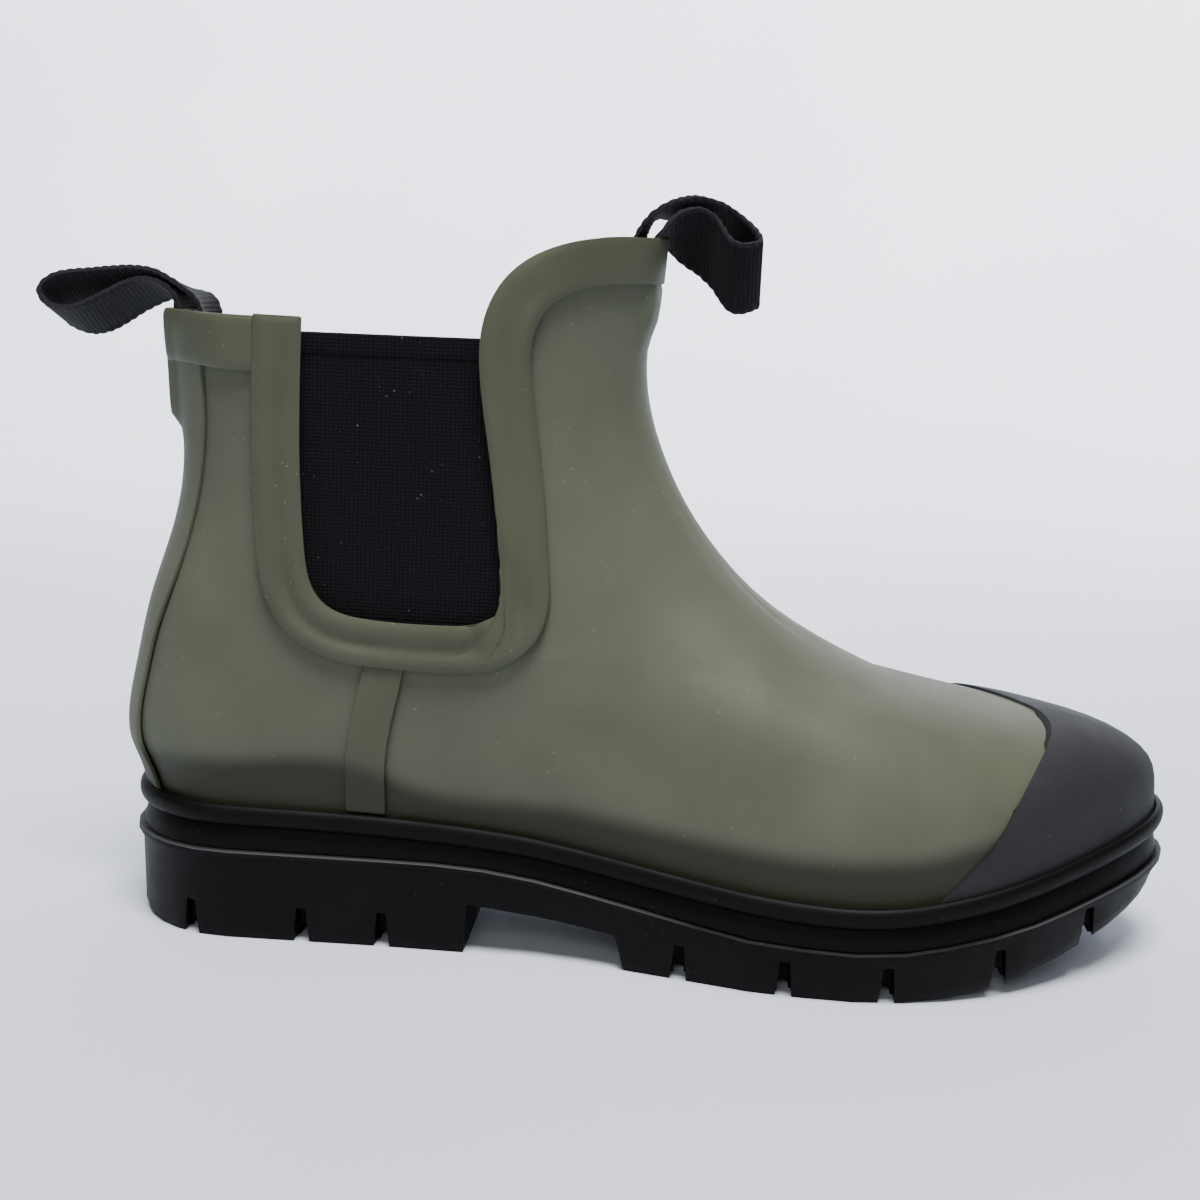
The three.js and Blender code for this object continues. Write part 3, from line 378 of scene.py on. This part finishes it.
oliveRubber = dippedRubber("matteOliveRubber", oliveLook)
# a darker copy of the olive rubber: painted shade on the frames, the band and the side strips
trimShadedRubber = dippedRubber("matteOliveRubberPaintedShade", trimShadeLook)
capRubber = dippedRubber("matteCharcoalRubber", capLook)
soleRubber = dippedRubber("blackSoleRubber", soleLook)
goreKnit = elasticKnit("ribbedElasticKnit")
webbingTape = wovenTape("blackGrosgrainWebbing")
liningCloth = plainFabric("cottonLining", "2b2d28", "474a42")
footbedCloth = plainFabric("footbedCloth", "1e1f1d", "343531", 0.8)
fibreBoard = grained("pressedFibreBoard", "8a7048", "b09468", 0.9)
corkCore = grained("corkGranules", "6f5534", "b39468", 0.9, scale=(500, 500, 500))
springSteel = grained("brushedSpringSteel", "8f9294", "b6b9bb", 0.35, 1.0, (30, 900, 900))
print("materials made")

# The shape of the upper, in mm: shared by every sheet so the layers stay together
form = {
    "heelEnd": 40,                          # behind this the boot curves round the heel, and
    "toeEnd": 215,                          # in front of this round the toe
    "instep": 110,                          # the front of the collar lies in front of this
    "shoulder": 2.3,                        # swell where the wall above the welt turns into the foot
    "shoulderAbove": 17,                    # how far it spreads above the line and below it
    "shoulderBelow": 8,
    "tabWidth": (9, 12.5),                  # half width of the webbing ends, felt through the rubber
    "rearTab": 2.3,
    "rearTabRun": (139, 143.5, 162, 166),   # heights where it starts, is full, fades and is gone
    "frontTab": 2.1,
    "frontTabRun": (165, 176, 184, 188),
    "farDrop": 6.6,                         # the far side of the collar hangs lower than the near one
    "farLean": 2.6,                         # and its front arch leans back
    "collarBack": 1.7,                      # the front of the collar sits back a little
}


def shoulderAt(x):
    for (x0, z0), (x1, z1) in zip(shoulderLine, shoulderLine[1:]):
        if x <= x1:
            return z0 + (z1 - z0) * ease(x, x0, x1)
    return shoulderLine[-1][1]


def sideways(x, y):
    # away from the middle of the foot, on the level
    if x < form["heelEnd"]:
        return Vector((x - form["heelEnd"], y, 0)).normalized()
    if x > form["toeEnd"]:
        return Vector((x - form["toeEnd"], y, 0)).normalized()
    return Vector((0, 1 if y > 0 else -1, 0))


def shapeUpper(piece, tabs):
    for vertex in piece.data.vertices:
        x, y, z = drawn(vertex.co)
        above = z - shoulderAt(x)
        reach = form["shoulderAbove"] if above > 0 else form["shoulderBelow"]
        swell = form["shoulder"] * math.exp(-(above / reach) ** 2)
        move = sideways(x, y) * swell * ease(abs(y) + abs(x - 130) / 6, 6, 20)
        middle = 1 - ease(abs(y), *form["tabWidth"]) if tabs else 0
        if x < form["heelEnd"]:
            move.x -= form["rearTab"] * middle * between(z, *form["rearTabRun"])
        if x > form["instep"]:
            move.x += form["frontTab"] * middle * between(z, *form["frontTabRun"])
        move.x -= form["collarBack"] * ease(x, 112, 136) * ease(z, 105, 165)
        far = ease(y, 0, 26) * ease(z, 110, 170)
        forward = ease(x, 85, 120)
        move.z -= form["farDrop"] * far * (1 - forward)
        move.x -= form["farLean"] * far * forward
        vertex.co += move * mm
    piece.data.update()


def outwards(x, y):
    # away from the middle of the shaft, on the level
    return Vector((x - 75, y * 1.6, 0)).normalized()


def treeOf(points):
    tree = kdtree.KDTree(len(points))
    for index, point in enumerate(points):
        tree.insert(point, index)
    tree.balance()
    return tree


roll = {
    "visible": 0.45,           # a face that looks outwards more squarely than this is on the visible side
    "goreX": 77,               # the middle of the gore, which tells the frame's outer rim from its inner one
    "goreZ": 140,
    "outerRim": 10,
    "rimTop": 182,
    "grooveAt": 5.6,           # distance of the groove from the outer rim, and its width
    "grooveWidth": 1.9,
}


def cushion(piece, height, reach, ripple=0.0, groove=0.0):
    # puffs the visible face up from its edges, with slow hand-laid unevenness
    mesh = piece.data
    rims = []
    outerRims = []
    for vertex in mesh.vertices:
        x, y, z = drawn(vertex.co)
        if vertex.normal.dot(outwards(x, y)) < roll["visible"]:
            rims.append(vertex.co.copy())
            outer = vertex.normal.x * (x - roll["goreX"]) + vertex.normal.z * (z - roll["goreZ"])
            if outer > roll["outerRim"] and z < roll["rimTop"]:
                outerRims.append(vertex.co.copy())
    tree = treeOf(rims)
    outerTree = treeOf(outerRims)
    moves = []
    for vertex in mesh.vertices:
        x, y, z = drawn(vertex.co)
        if vertex.normal.dot(outwards(x, y)) < roll["visible"]:
            moves.append(Vector())
            continue
        depth = tree.find(vertex.co)[2] / mm
        t = min(depth / reach, 1)
        lift = (0.35 + 0.65 * math.sin(t * math.pi / 2) ** 1.2) * height
        lift += ripple * t * noise.noise(Vector((x, y, z)) / 17)
        if groove:
            inset = outerTree.find(vertex.co)[2] / mm
            sunk = 0.35 + 0.65 * ease(z, 118, 100) + 0.5 * noise.noise(Vector((x, y, z)) / 11)
            across = math.exp(-((inset - roll["grooveAt"]) / roll["grooveWidth"]) ** 2)
            lift -= groove * sunk * across * (1 - ease(x, 108, 118))
        lift *= 1 - 0.6 * ease(x, 108, 135)    # flatter round the front of the collar
        moves.append(vertex.normal * lift * mm)
    for vertex, move in zip(mesh.vertices, moves):
        vertex.co += move
    mesh.update()


# Rubber sheets and overlays: each is its frame node, rounded at the edges and smoothed
sheets = {
    # node: (material, slot, edge rounding in mm, subdivision levels)
    "vamp": (oliveRubber, "olive_rubber", 0.6, 2),
    "outer_quarter": (oliveRubber, "olive_rubber", 0.6, 2),
    "inner_quarter": (oliveRubber, "olive_rubber", 0.6, 2),
    "outer_gore_frame": (trimShadedRubber, "olive_rubber", 0.45, 2),
    "inner_gore_frame": (trimShadedRubber, "olive_rubber", 0.45, 2),
    "rear_collar_band": (trimShadedRubber, "olive_rubber", 0.45, 2),
    "back_strip": (oliveRubber, "olive_rubber", 0.35, 2),
    "outer_side_strip": (trimShadedRubber, "olive_rubber", 0.35, 2),
    "inner_side_strip": (trimShadedRubber, "olive_rubber", 0.35, 2),
    "outer_gore": (goreKnit, "elastic", 0.4, 2),
    "inner_gore": (goreKnit, "elastic", 0.4, 2),
    "outer_gore_hem": (goreKnit, "elastic", 0.5, 2),
    "inner_gore_hem": (goreKnit, "elastic", 0.5, 2),
    "vamp_lining": (liningCloth, "lining", 0.25, 1),
    "outer_quarter_lining": (liningCloth, "lining", 0.25, 1),
    "inner_quarter_lining": (liningCloth, "lining", 0.25, 1),
}
cushions = {
    # node: height in mm, distance from the edge where it is reached, unevenness, depth of the groove
    "outer_gore_frame": (2.0, 5, 0.5, 1.3),
    "inner_gore_frame": (2.0, 5, 0.5, 1.3),
    "rear_collar_band": (1.1, 4, 0.5),
    "back_strip": (0.25, 3, 0.15),
    "outer_side_strip": (0.15, 3, 0.1),
    "inner_side_strip": (0.15, 3, 0.1),
}
tucks = {
    # node: how far it slides under or presses into its neighbour, in mm
    "rear_collar_band": 2.2,
    "outer_side_strip": 1.6,
    "inner_side_strip": 1.6,
    "back_strip": 0.9,
    "outer_gore_hem": 1.6,
    "inner_gore_hem": 1.6,
}


def tuckUnder(piece, name):
    # laid-on strips run a little way under the frame or press onto the sheet below, and each hem's
    # lower face comes down over the top of its gore
    points = [drawn(v.co) for v in piece.data.vertices]
    furthest = max(p[0] for p in points)
    highest = max(p[2] for p in points)
    lowest = min(p[2] for p in points)
    for vertex, (x, y, z) in zip(piece.data.vertices, points):
        if name == "rear_collar_band":
            vertex.co.x += tucks[name] * ease(x, furthest - 7, furthest) * mm
        elif name.endswith("hem"):
            if vertex.normal.z < -0.25:
                vertex.co.z -= tucks[name] * mm
        elif name == "back_strip":
            vertex.co -= outwards(x, y) * tucks[name] * mm
            longer = ease(z, highest - 8, highest) - (1 - ease(z, lowest, lowest + 10))
            vertex.co.z += 4 * longer * mm
        else:
            vertex.co.z += tucks[name] * ease(z, highest - 6, highest) * mm
            vertex.co.y -= 0.5 * (1 if y > 0 else -1) * ease(z, highest - 6, highest) * mm


def relaxCorner(piece, atX, atZ, reach):
    # evens out the tight inner corner of the frame, where its quads crowd together
    pick(piece)
    bpy.ops.object.mode_set(mode="EDIT")
    bpy.ops.mesh.select_mode(type="VERT")
    bpy.ops.mesh.select_all(action="DESELECT")
    bpy.ops.object.mode_set(mode="OBJECT")
    for vertex in piece.data.vertices:
        x, y, z = drawn(vertex.co)
        vertex.select = math.hypot(x - atX, z - atZ) < reach
    bpy.ops.object.mode_set(mode="EDIT")
    bpy.ops.mesh.vertices_smooth(factor=0.5, repeat=10)
    bpy.ops.object.mode_set(mode="OBJECT")


for nodeName, (material, slotName, rounding, levels) in sheets.items():
    sheet = copyOfNode(nodeName, nodeName + "_sheet")
    if nodeName in tucks:
        tuckUnder(sheet, nodeName)
    addBevel(sheet, rounding)
    addSmoothing(sheet, levels)
    finishModifiers(sheet)
    if nodeName.endswith("gore_frame"):
        relaxCorner(sheet, 103.5, 97, 10)
    if nodeName in cushions:
        cushion(sheet, *cushions[nodeName])
    shapeUpper(sheet, nodeName in ("vamp", "back_strip", "outer_quarter", "inner_quarter"))
    shadeSmooth(sheet, 60)
    dress(sheet, material, stands=[nodeName])
print("upper sheets made")

# Toe cap: the vamp's own toe, cut off along the cap's edge and laid over it
toeCap = {
    "thickness": 1.5,
    "axisHeight": 30,
    # its rear edge: degrees round the foot from the outer side, and how far forward it lies in mm
    "edge": [
        (-40, 205), (-10, 219), (3, 230.4), (12.5, 236.5), (19.3, 240), (28.6, 243.4), (38, 246.9),
        (50, 251.4), (63, 255), (76.6, 257.1), (89, 256.6), (98, 253.5), (106, 247.5), (114, 240.5),
        (128, 233), (150, 226.5), (170, 220), (190, 212), (220, 203),
    ],
}


def capEdge(y, z):
    # the edge at a point's own angle, averaged over a few degrees so it bends softly
    angle = math.degrees(math.atan2(z - toeCap["axisHeight"], -y))
    if angle < -90:
        angle += 360
    edge = toeCap["edge"]
    total = 0
    for looked in (angle - 8, angle - 4, angle, angle + 4, angle + 8):
        k = 0
        while k < len(edge) - 2 and looked > edge[k + 1][0]:
            k += 1
        share = (looked - edge[k][0]) / (edge[k + 1][0] - edge[k][0])
        total += edge[k][1] + (edge[k + 1][1] - edge[k][1]) * share
    return total / 5


vampSheet = bpy.data.objects["vamp_sheet"]
cap = bpy.data.objects.new("toe_cap_cover", vampSheet.data.copy())
bpy.context.scene.collection.objects.link(cap)
toeMiddle = place(215, 0, 34)
# straighten the edge out, cut, and put the shape back
for vertex in cap.data.vertices:
    x, y, z = drawn(vertex.co)
    vertex.co.x -= capEdge(y, z) * mm
pick(cap)
bpy.ops.object.mode_set(mode="EDIT")
bpy.ops.mesh.select_all(action="SELECT")
bpy.ops.mesh.bisect(plane_co=(heelBack, 0, 0), plane_no=(1, 0, 0), use_fill=True, clear_inner=True)
bpy.ops.object.mode_set(mode="OBJECT")
for vertex in cap.data.vertices:
    x, y, z = drawn(vertex.co)
    vertex.co.x += capEdge(y, z) * mm
for vertex in cap.data.vertices:
    normal = vampSheet.closest_point_on_mesh(vertex.co)[2]
    if normal.dot(vertex.co - toeMiddle) > 0:
        x, y, z = drawn(vertex.co)
        vertex.co += normal * toeCap["thickness"] * (0.55 + 0.45 * ease(x - capEdge(y, z), 0, 7)) * mm
addBevel(cap, 0.35, 3, 50)
finishModifiers(cap)
shadeSmooth(cap, 50)
dress(cap, capRubber, stands=["toe_cap"])
print("toe cap made")

# Sole unit: the outsole keeps its cut edges, softened; the bead and the midsole wall are smoothed
bead = copyOfNode("foxing_bead", "foxing_bead_round")
addSmoothing(bead, 2)
finishModifiers(bead)
shadeSmooth(bead, 60)
dress(bead, soleRubber, stands=["foxing_bead"])

for nodeName, rounding in (("outsole", 0.55), ("midsole", 0.4), ("footbed", 0.8)):
    block = copyOfNode(nodeName, nodeName + "_block")
    if nodeName == "midsole":
        # the wall flares out towards its foot
        for vertex in block.data.vertices:
            x, y, z = drawn(vertex.co)
            vertex.co += sideways(x, y) * (1.5 if vertex.normal.z < -0.15 else -0.2) * mm
    addBevel(block, rounding, 2, 38)
    finishModifiers(block)
    if nodeName == "outsole":
        edge = block.data.attributes.new("lip", "FLOAT", "POINT")
        for vertex in block.data.vertices:
            x, y, z = drawn(vertex.co)
            outer = vertex.normal.dot(sideways(x, y))
            # the mask of the painted highlight: only the rounded top edge of the lip, which looks up and out
            litLipTop = between(vertex.normal.z, 0.13, 0.25, 0.9, 1.02)
            edge.data[vertex.index].value = litLipTop * ease(outer, 0.2, 0.4) * ease(z, 16, 20)
    shadeSmooth(block, 30)
    if nodeName == "footbed":
        dress(block, footbedCloth, stands=[nodeName])
    else:
        dress(block, soleRubber, stands=[nodeName])
print("sole made")

# Webbing: each pull loop and its two stitched-in ends are one ribbed strip
webbing = {
    "width": 20,
    "thickness": 1.5,
    "ribPitch": 1.25,
    "rowsPerRib": 6,
    "columns": 18,
    "ribDepth": 0.34,      # share of the thickness lost between ribs
    "edgeWidth": 1.5,      # the woven edge, which is a chain of thicker loops
    "edgePitch": 2.5,
    "fullest": 1.2,        # the thickest a link gets, as a share of the thickness
}
# stations: x, y, z of the outer edge, how far the width has turned down in degrees, and how far it is bowed
rearStations = [
    (17.2, -10, 149, 0, 1), (16.8, -10, 160, 0, 1), (16.6, -10, 168, 0, 1),
    (16.2, -10, 172.2, 0, 0.9), (14.4, -10, 175.3, 0, 0.5), (11.2, -9.8, 177.7, 4, 0.2),
    (6.9, -9.4, 180.4, 12, 0), (2.5, -9, 182.4, 18, 0), (-3.3, -8.4, 183, 24, 0),
    (-9.4, -7.8, 182.6, 28, 0), (-15.5, -7.4, 181.9, 31, 0), (-21.4, -7.7, 181.2, 28, 0),
    (-25.6, -8.2, 180.1, 24, 0), (-28.6, -8.8, 178, 20, 0), (-29.6, -9.5, 175.7, 17, 0),
    (-28.7, -10, 173.7, 17, 0), (-26.5, -10.3, 172, 18, 0), (-22.4, -10.5, 171.4, 21, 0),
    (-18.5, -10.4, 172.1, 24, 0), (-13.8, -10.3, 174.2, 26.5, 0), (-9.1, -10, 176.7, 25.5, 0),
    (-5.2, -9.9, 178.7, 23.5, 0), (-0.8, -9.8, 180, 20, 0), (3, -9.8, 179.6, 14, 0),
    (6.6, -9.9, 177.9, 8, 0.2), (8.8, -10, 175.6, 2, 0.6), (9.7, -10, 172.6, 0, 1),
    (9.9, -10, 168, 0, 1), (10.5, -10, 160, 0, 1), (11.6, -10, 149, 0, 1),
]
frontStations = [
    (132.6, -10, 173, 0, 1), (133.4, -10, 184, 0, 1), (134.6, -10, 193, 0, 0.9),
    (136.6, -10, 198, 0, 0.6), (139.2, -9.9, 201.6, 0, 0.3), (141.6, -9.6, 203.6, 4, 0.1),
    (144, -8.8, 205.2, 10, 0), (147.2, -7.4, 206.6, 23, 0), (151.8, -4.2, 207.7, 54, 0),
    (157.7, 0.3, 206.9, 80, 0), (162, 2.2, 204.8, 79, 0), (166.2, 1.4, 201.5, 72, 0),
    (168.7, -1.4, 198.8, 68, 0), (169.4, -4.1, 196.7, 66, 0), (167.4, -5.8, 196, 69, 0),
    (165.1, -6.4, 195.6, 72, 0), (162.8, -6.2, 196, 76, 0), (160.7, -5.2, 197.5, 80, 0),
    (158.8, -4.2, 200.2, 82, 0), (156.6, -4, 203, 78, 0), (153, -5, 204.6, 64, 0),
    (149.6, -6.8, 204.1, 50, 0), (146.7, -8.4, 202.7, 36, 0), (144.4, -9.5, 200.2, 20, 0.1),
    (142.6, -10, 197.6, 6, 0.3), (140.6, -10, 195, 0, 0.5), (138.6, -10, 191, 0, 0.7),
    (136.9, -10, 184, 0, 0.9), (135.6, -10, 173, 0, 1),
]


def webbingStrip(pieceName, stations, bow):
    tracks = list(zip(*stations))

    def spot(k, across):
        x, y, z, turned, bowed = (along(track, k) for track in tracks)
        turned = math.radians(turned)
        offset = across * webbing["width"]
        centre = 1 - (2 * across - 1) ** 2
        return place(x + bow * bowed * centre, y + offset * math.cos(turned), z - offset * math.sin(turned))

    # even steps along the middle of the strip
    stepsPerStation = 60
    count = stepsPerStation * (len(stations) - 1)
    spots = [spot(i * (len(stations) - 1) / count, 0.5) for i in range(count + 1)]
    lengths = [0.0]
    for a, b in zip(spots, spots[1:]):
        lengths.append(lengths[-1] + (b - a).length / mm)
    ribs = round(lengths[-1] / webbing["ribPitch"])
    rows = ribs * webbing["rowsPerRib"]
    print(pieceName, round(lengths[-1]), "mm of webbing")
    columns = webbing["columns"]
    bpy.ops.object.select_all(action="DESELECT")
    bpy.ops.mesh.primitive_grid_add(x_subdivisions=rows, y_subdivisions=columns, size=1)
    strip = bpy.context.object
    strip.name = pieceName
    strip.data.name = pieceName
    group = strip.vertex_groups.new(name="thickness")
    scan = 0
    stepOf = []
    for row in range(rows + 1):
        wanted = lengths[-1] * row / rows
        while scan < count - 1 and lengths[scan + 1] < wanted:
            scan += 1
        share = (wanted - lengths[scan]) / (lengths[scan + 1] - lengths[scan])
        stepOf.append((scan + share) * (len(stations) - 1) / count)
    for vertex in strip.data.vertices:
        row = round((vertex.co.x + 0.5) * rows)
        column = round((vertex.co.y + 0.5) * columns)
        across = column / columns
        inward = min(across, 1 - across) * webbing["width"]
        rib = abs(math.cos(math.pi * row / webbing["rowsPerRib"])) ** 0.7
        thick = 1 - webbing["ribDepth"] * (1 - rib)
        if inward < webbing["edgeWidth"]:
            links = row / webbing["rowsPerRib"] * webbing["ribPitch"] / webbing["edgePitch"]
            link = abs(math.cos(math.pi * links))
            thick = 0.78 + 0.42 * link ** 0.8
            across += (0.5 - across) * 0.014 * (1 - link)
        if column in (0, columns):
            thick *= 0.72
        group.add([vertex.index], min(1, thick / webbing["fullest"]), "REPLACE")
        vertex.co = spot(stepOf[row], across)
    strip.data.update()
    solid = strip.modifiers.new("thickness", "SOLIDIFY")
    solid.thickness = webbing["thickness"] * webbing["fullest"] * mm
    solid.offset = 0
    solid.vertex_group = "thickness"
    finishModifiers(strip)
    pick(strip)
    bpy.ops.object.mode_set(mode="EDIT")
    bpy.ops.mesh.select_all(action="SELECT")
    bpy.ops.mesh.normals_make_consistent(inside=False)
    bpy.ops.object.mode_set(mode="OBJECT")
    strip.vertex_groups.clear()
    shadeSmooth(strip, 75)
    dress(strip, webbingTape, body=None)
    return strip


rearStrip = webbingStrip("rear_webbing", rearStations, -1.6)
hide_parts("rear_pull_loop", "rear_loop_outer_end", "rear_loop_inner_end")
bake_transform(rearStrip)
frontStrip = webbingStrip("front_webbing", frontStations, 2.6)
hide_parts("front_pull_loop", "front_loop_outer_end", "front_loop_inner_end")
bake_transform(frontStrip)
print("webbing made")

# Hidden pieces keep their frame nodes, with their own materials
for nodeName, material in (
    ("insole_board", fibreBoard), ("heel_counter", fibreBoard),
    ("heel_filler", corkCore), ("shank", springSteel),
):
    nodes[nodeName].data.materials.clear()
    nodes[nodeName].data.materials.append(material)

# Floor and backdrop: one pale sweep
stage = {
    "halfWidth": 4, "back": 2.2, "front": -3, "height": 3, "bend": 1.2, "bendSteps": 24,
    "dark": "cfd4de", "light": "d9dde6",
}
bpy.ops.object.select_all(action="DESELECT")
bpy.ops.mesh.primitive_plane_add(size=1)
sweep = bpy.context.object
sweep.name = "sweep"
corners = [(-1, stage["front"]), (1, stage["front"]), (-1, stage["back"]), (1, stage["back"])]
for vertex, (side, depth) in zip(sweep.data.vertices, corners):
    vertex.co = (side * stage["halfWidth"], depth, 0)
bpy.ops.object.mode_set(mode="EDIT")
bpy.ops.mesh.select_mode(type="EDGE")
bpy.ops.mesh.select_all(action="DESELECT")
bpy.ops.object.mode_set(mode="OBJECT")
for edge in sweep.data.edges:
    edge.select = all(sweep.data.vertices[v].co.y > 0 for v in edge.vertices)
bpy.ops.object.mode_set(mode="EDIT")
bpy.ops.mesh.extrude_region_move(TRANSFORM_OT_translate={"value": (0, 0, stage["height"])})
bpy.ops.object.mode_set(mode="OBJECT")
curve = sweep.modifiers.new("curve", "BEVEL")
curve.width = stage["bend"]
curve.segments = stage["bendSteps"]
curve.limit_method = "ANGLE"
finishModifiers(sweep)
shadeSmooth(sweep, 60)
# matte studio paper, so pale that only a slow unevenness shows
paper, paperTree, paperShader, paperCoords = newMaterial("paleStudioPaper")
mottle = addNode(paperTree, "ShaderNodeTexNoise", inputs={
    "Vector": paperCoords.outputs["Object"], "Scale": 3, "Detail": 2})
uneven = addNode(paperTree, "ShaderNodeMapRange", inputs={"Value": mottle, "From Min": 0.2, "From Max": 0.8})
paperColour = addNode(paperTree, "ShaderNodeMix", colourMix, {
    0: uneven, 6: linear(stage["dark"]), 7: linear(stage["light"])})
connect(paperTree, paperShader, {"Base Color": paperColour.outputs[2], "Roughness": 0.9})
sweep.data.materials.append(paper)

# Light: a broad panel above the boot, a weak one from the viewer's side, two on the backdrop, a dim room
lights = {
    # name: (position, target, width of the disc, watts); lengths in metres
    "overhead": ((0.1, -0.7, 2.2), (0.03, 0, 0.05), 1.0, 96),
    "fill": ((-0.2, -2.5, 1.5), (0.05, 0, 0.05), 1.0, 14),
    "backdrop left": ((-0.9, 0.95, 1.5), (-0.4, 2.2, 0.9), 0.8, 50),
    "backdrop right": ((0.9, 0.95, 1.5), (0.4, 2.2, 0.9), 0.8, 74),
}
for name, (position, target, size, watts) in lights.items():
    lamp = bpy.data.lights.new(name, "AREA")
    lamp.shape = "DISK"
    lamp.size = size
    lamp.energy = watts
    holder = bpy.data.objects.new(name, lamp)
    holder.location = position
    holder.rotation_euler = (Vector(target) - Vector(position)).to_track_quat("-Z", "Y").to_euler()
    bpy.context.scene.collection.objects.link(holder)
room = {"colour": "e6eaef", "strength": 0.18}
world = bpy.data.worlds.new("room")
world.use_nodes = True
air = world.node_tree.nodes["Background"]
connect(world.node_tree, air, {"Color": linear(room["colour"]), "Strength": room["strength"]})
bpy.context.scene.world = world

# Camera: slightly above the collar, looking down a little and turned towards the heel
view = {
    # position in mm from the heel, turns in radians, lens and sensor in mm
    "x": 161.3, "y": -497.1, "z": 182.0,
    "yaw": 0.06433, "pitch": 0.17359, "roll": 0.03946,
    "lens": 53.26, "sensor": 36,
}
lookAlong = Vector((
    -math.sin(view["yaw"]) * math.cos(view["pitch"]),
    math.cos(view["yaw"]) * math.cos(view["pitch"]),
    -math.sin(view["pitch"])))
level = lookAlong.cross(Vector((0, 0, 1))).normalized()
upright = level.cross(lookAlong)
right = level * math.cos(view["roll"]) + upright * math.sin(view["roll"])
up = upright * math.cos(view["roll"]) - level * math.sin(view["roll"])
lensData = bpy.data.cameras.new("camera")
lensData.lens = view["lens"]
lensData.sensor_width = view["sensor"]
camera = bpy.data.objects.new("camera", lensData)
turn = Matrix((right, up, -lookAlong)).transposed().to_4x4()
camera.matrix_world = Matrix.Translation(place(view["x"], view["y"], view["z"])) @ turn
bpy.context.scene.collection.objects.link(camera)
bpy.context.scene.camera = camera
print("stage made")
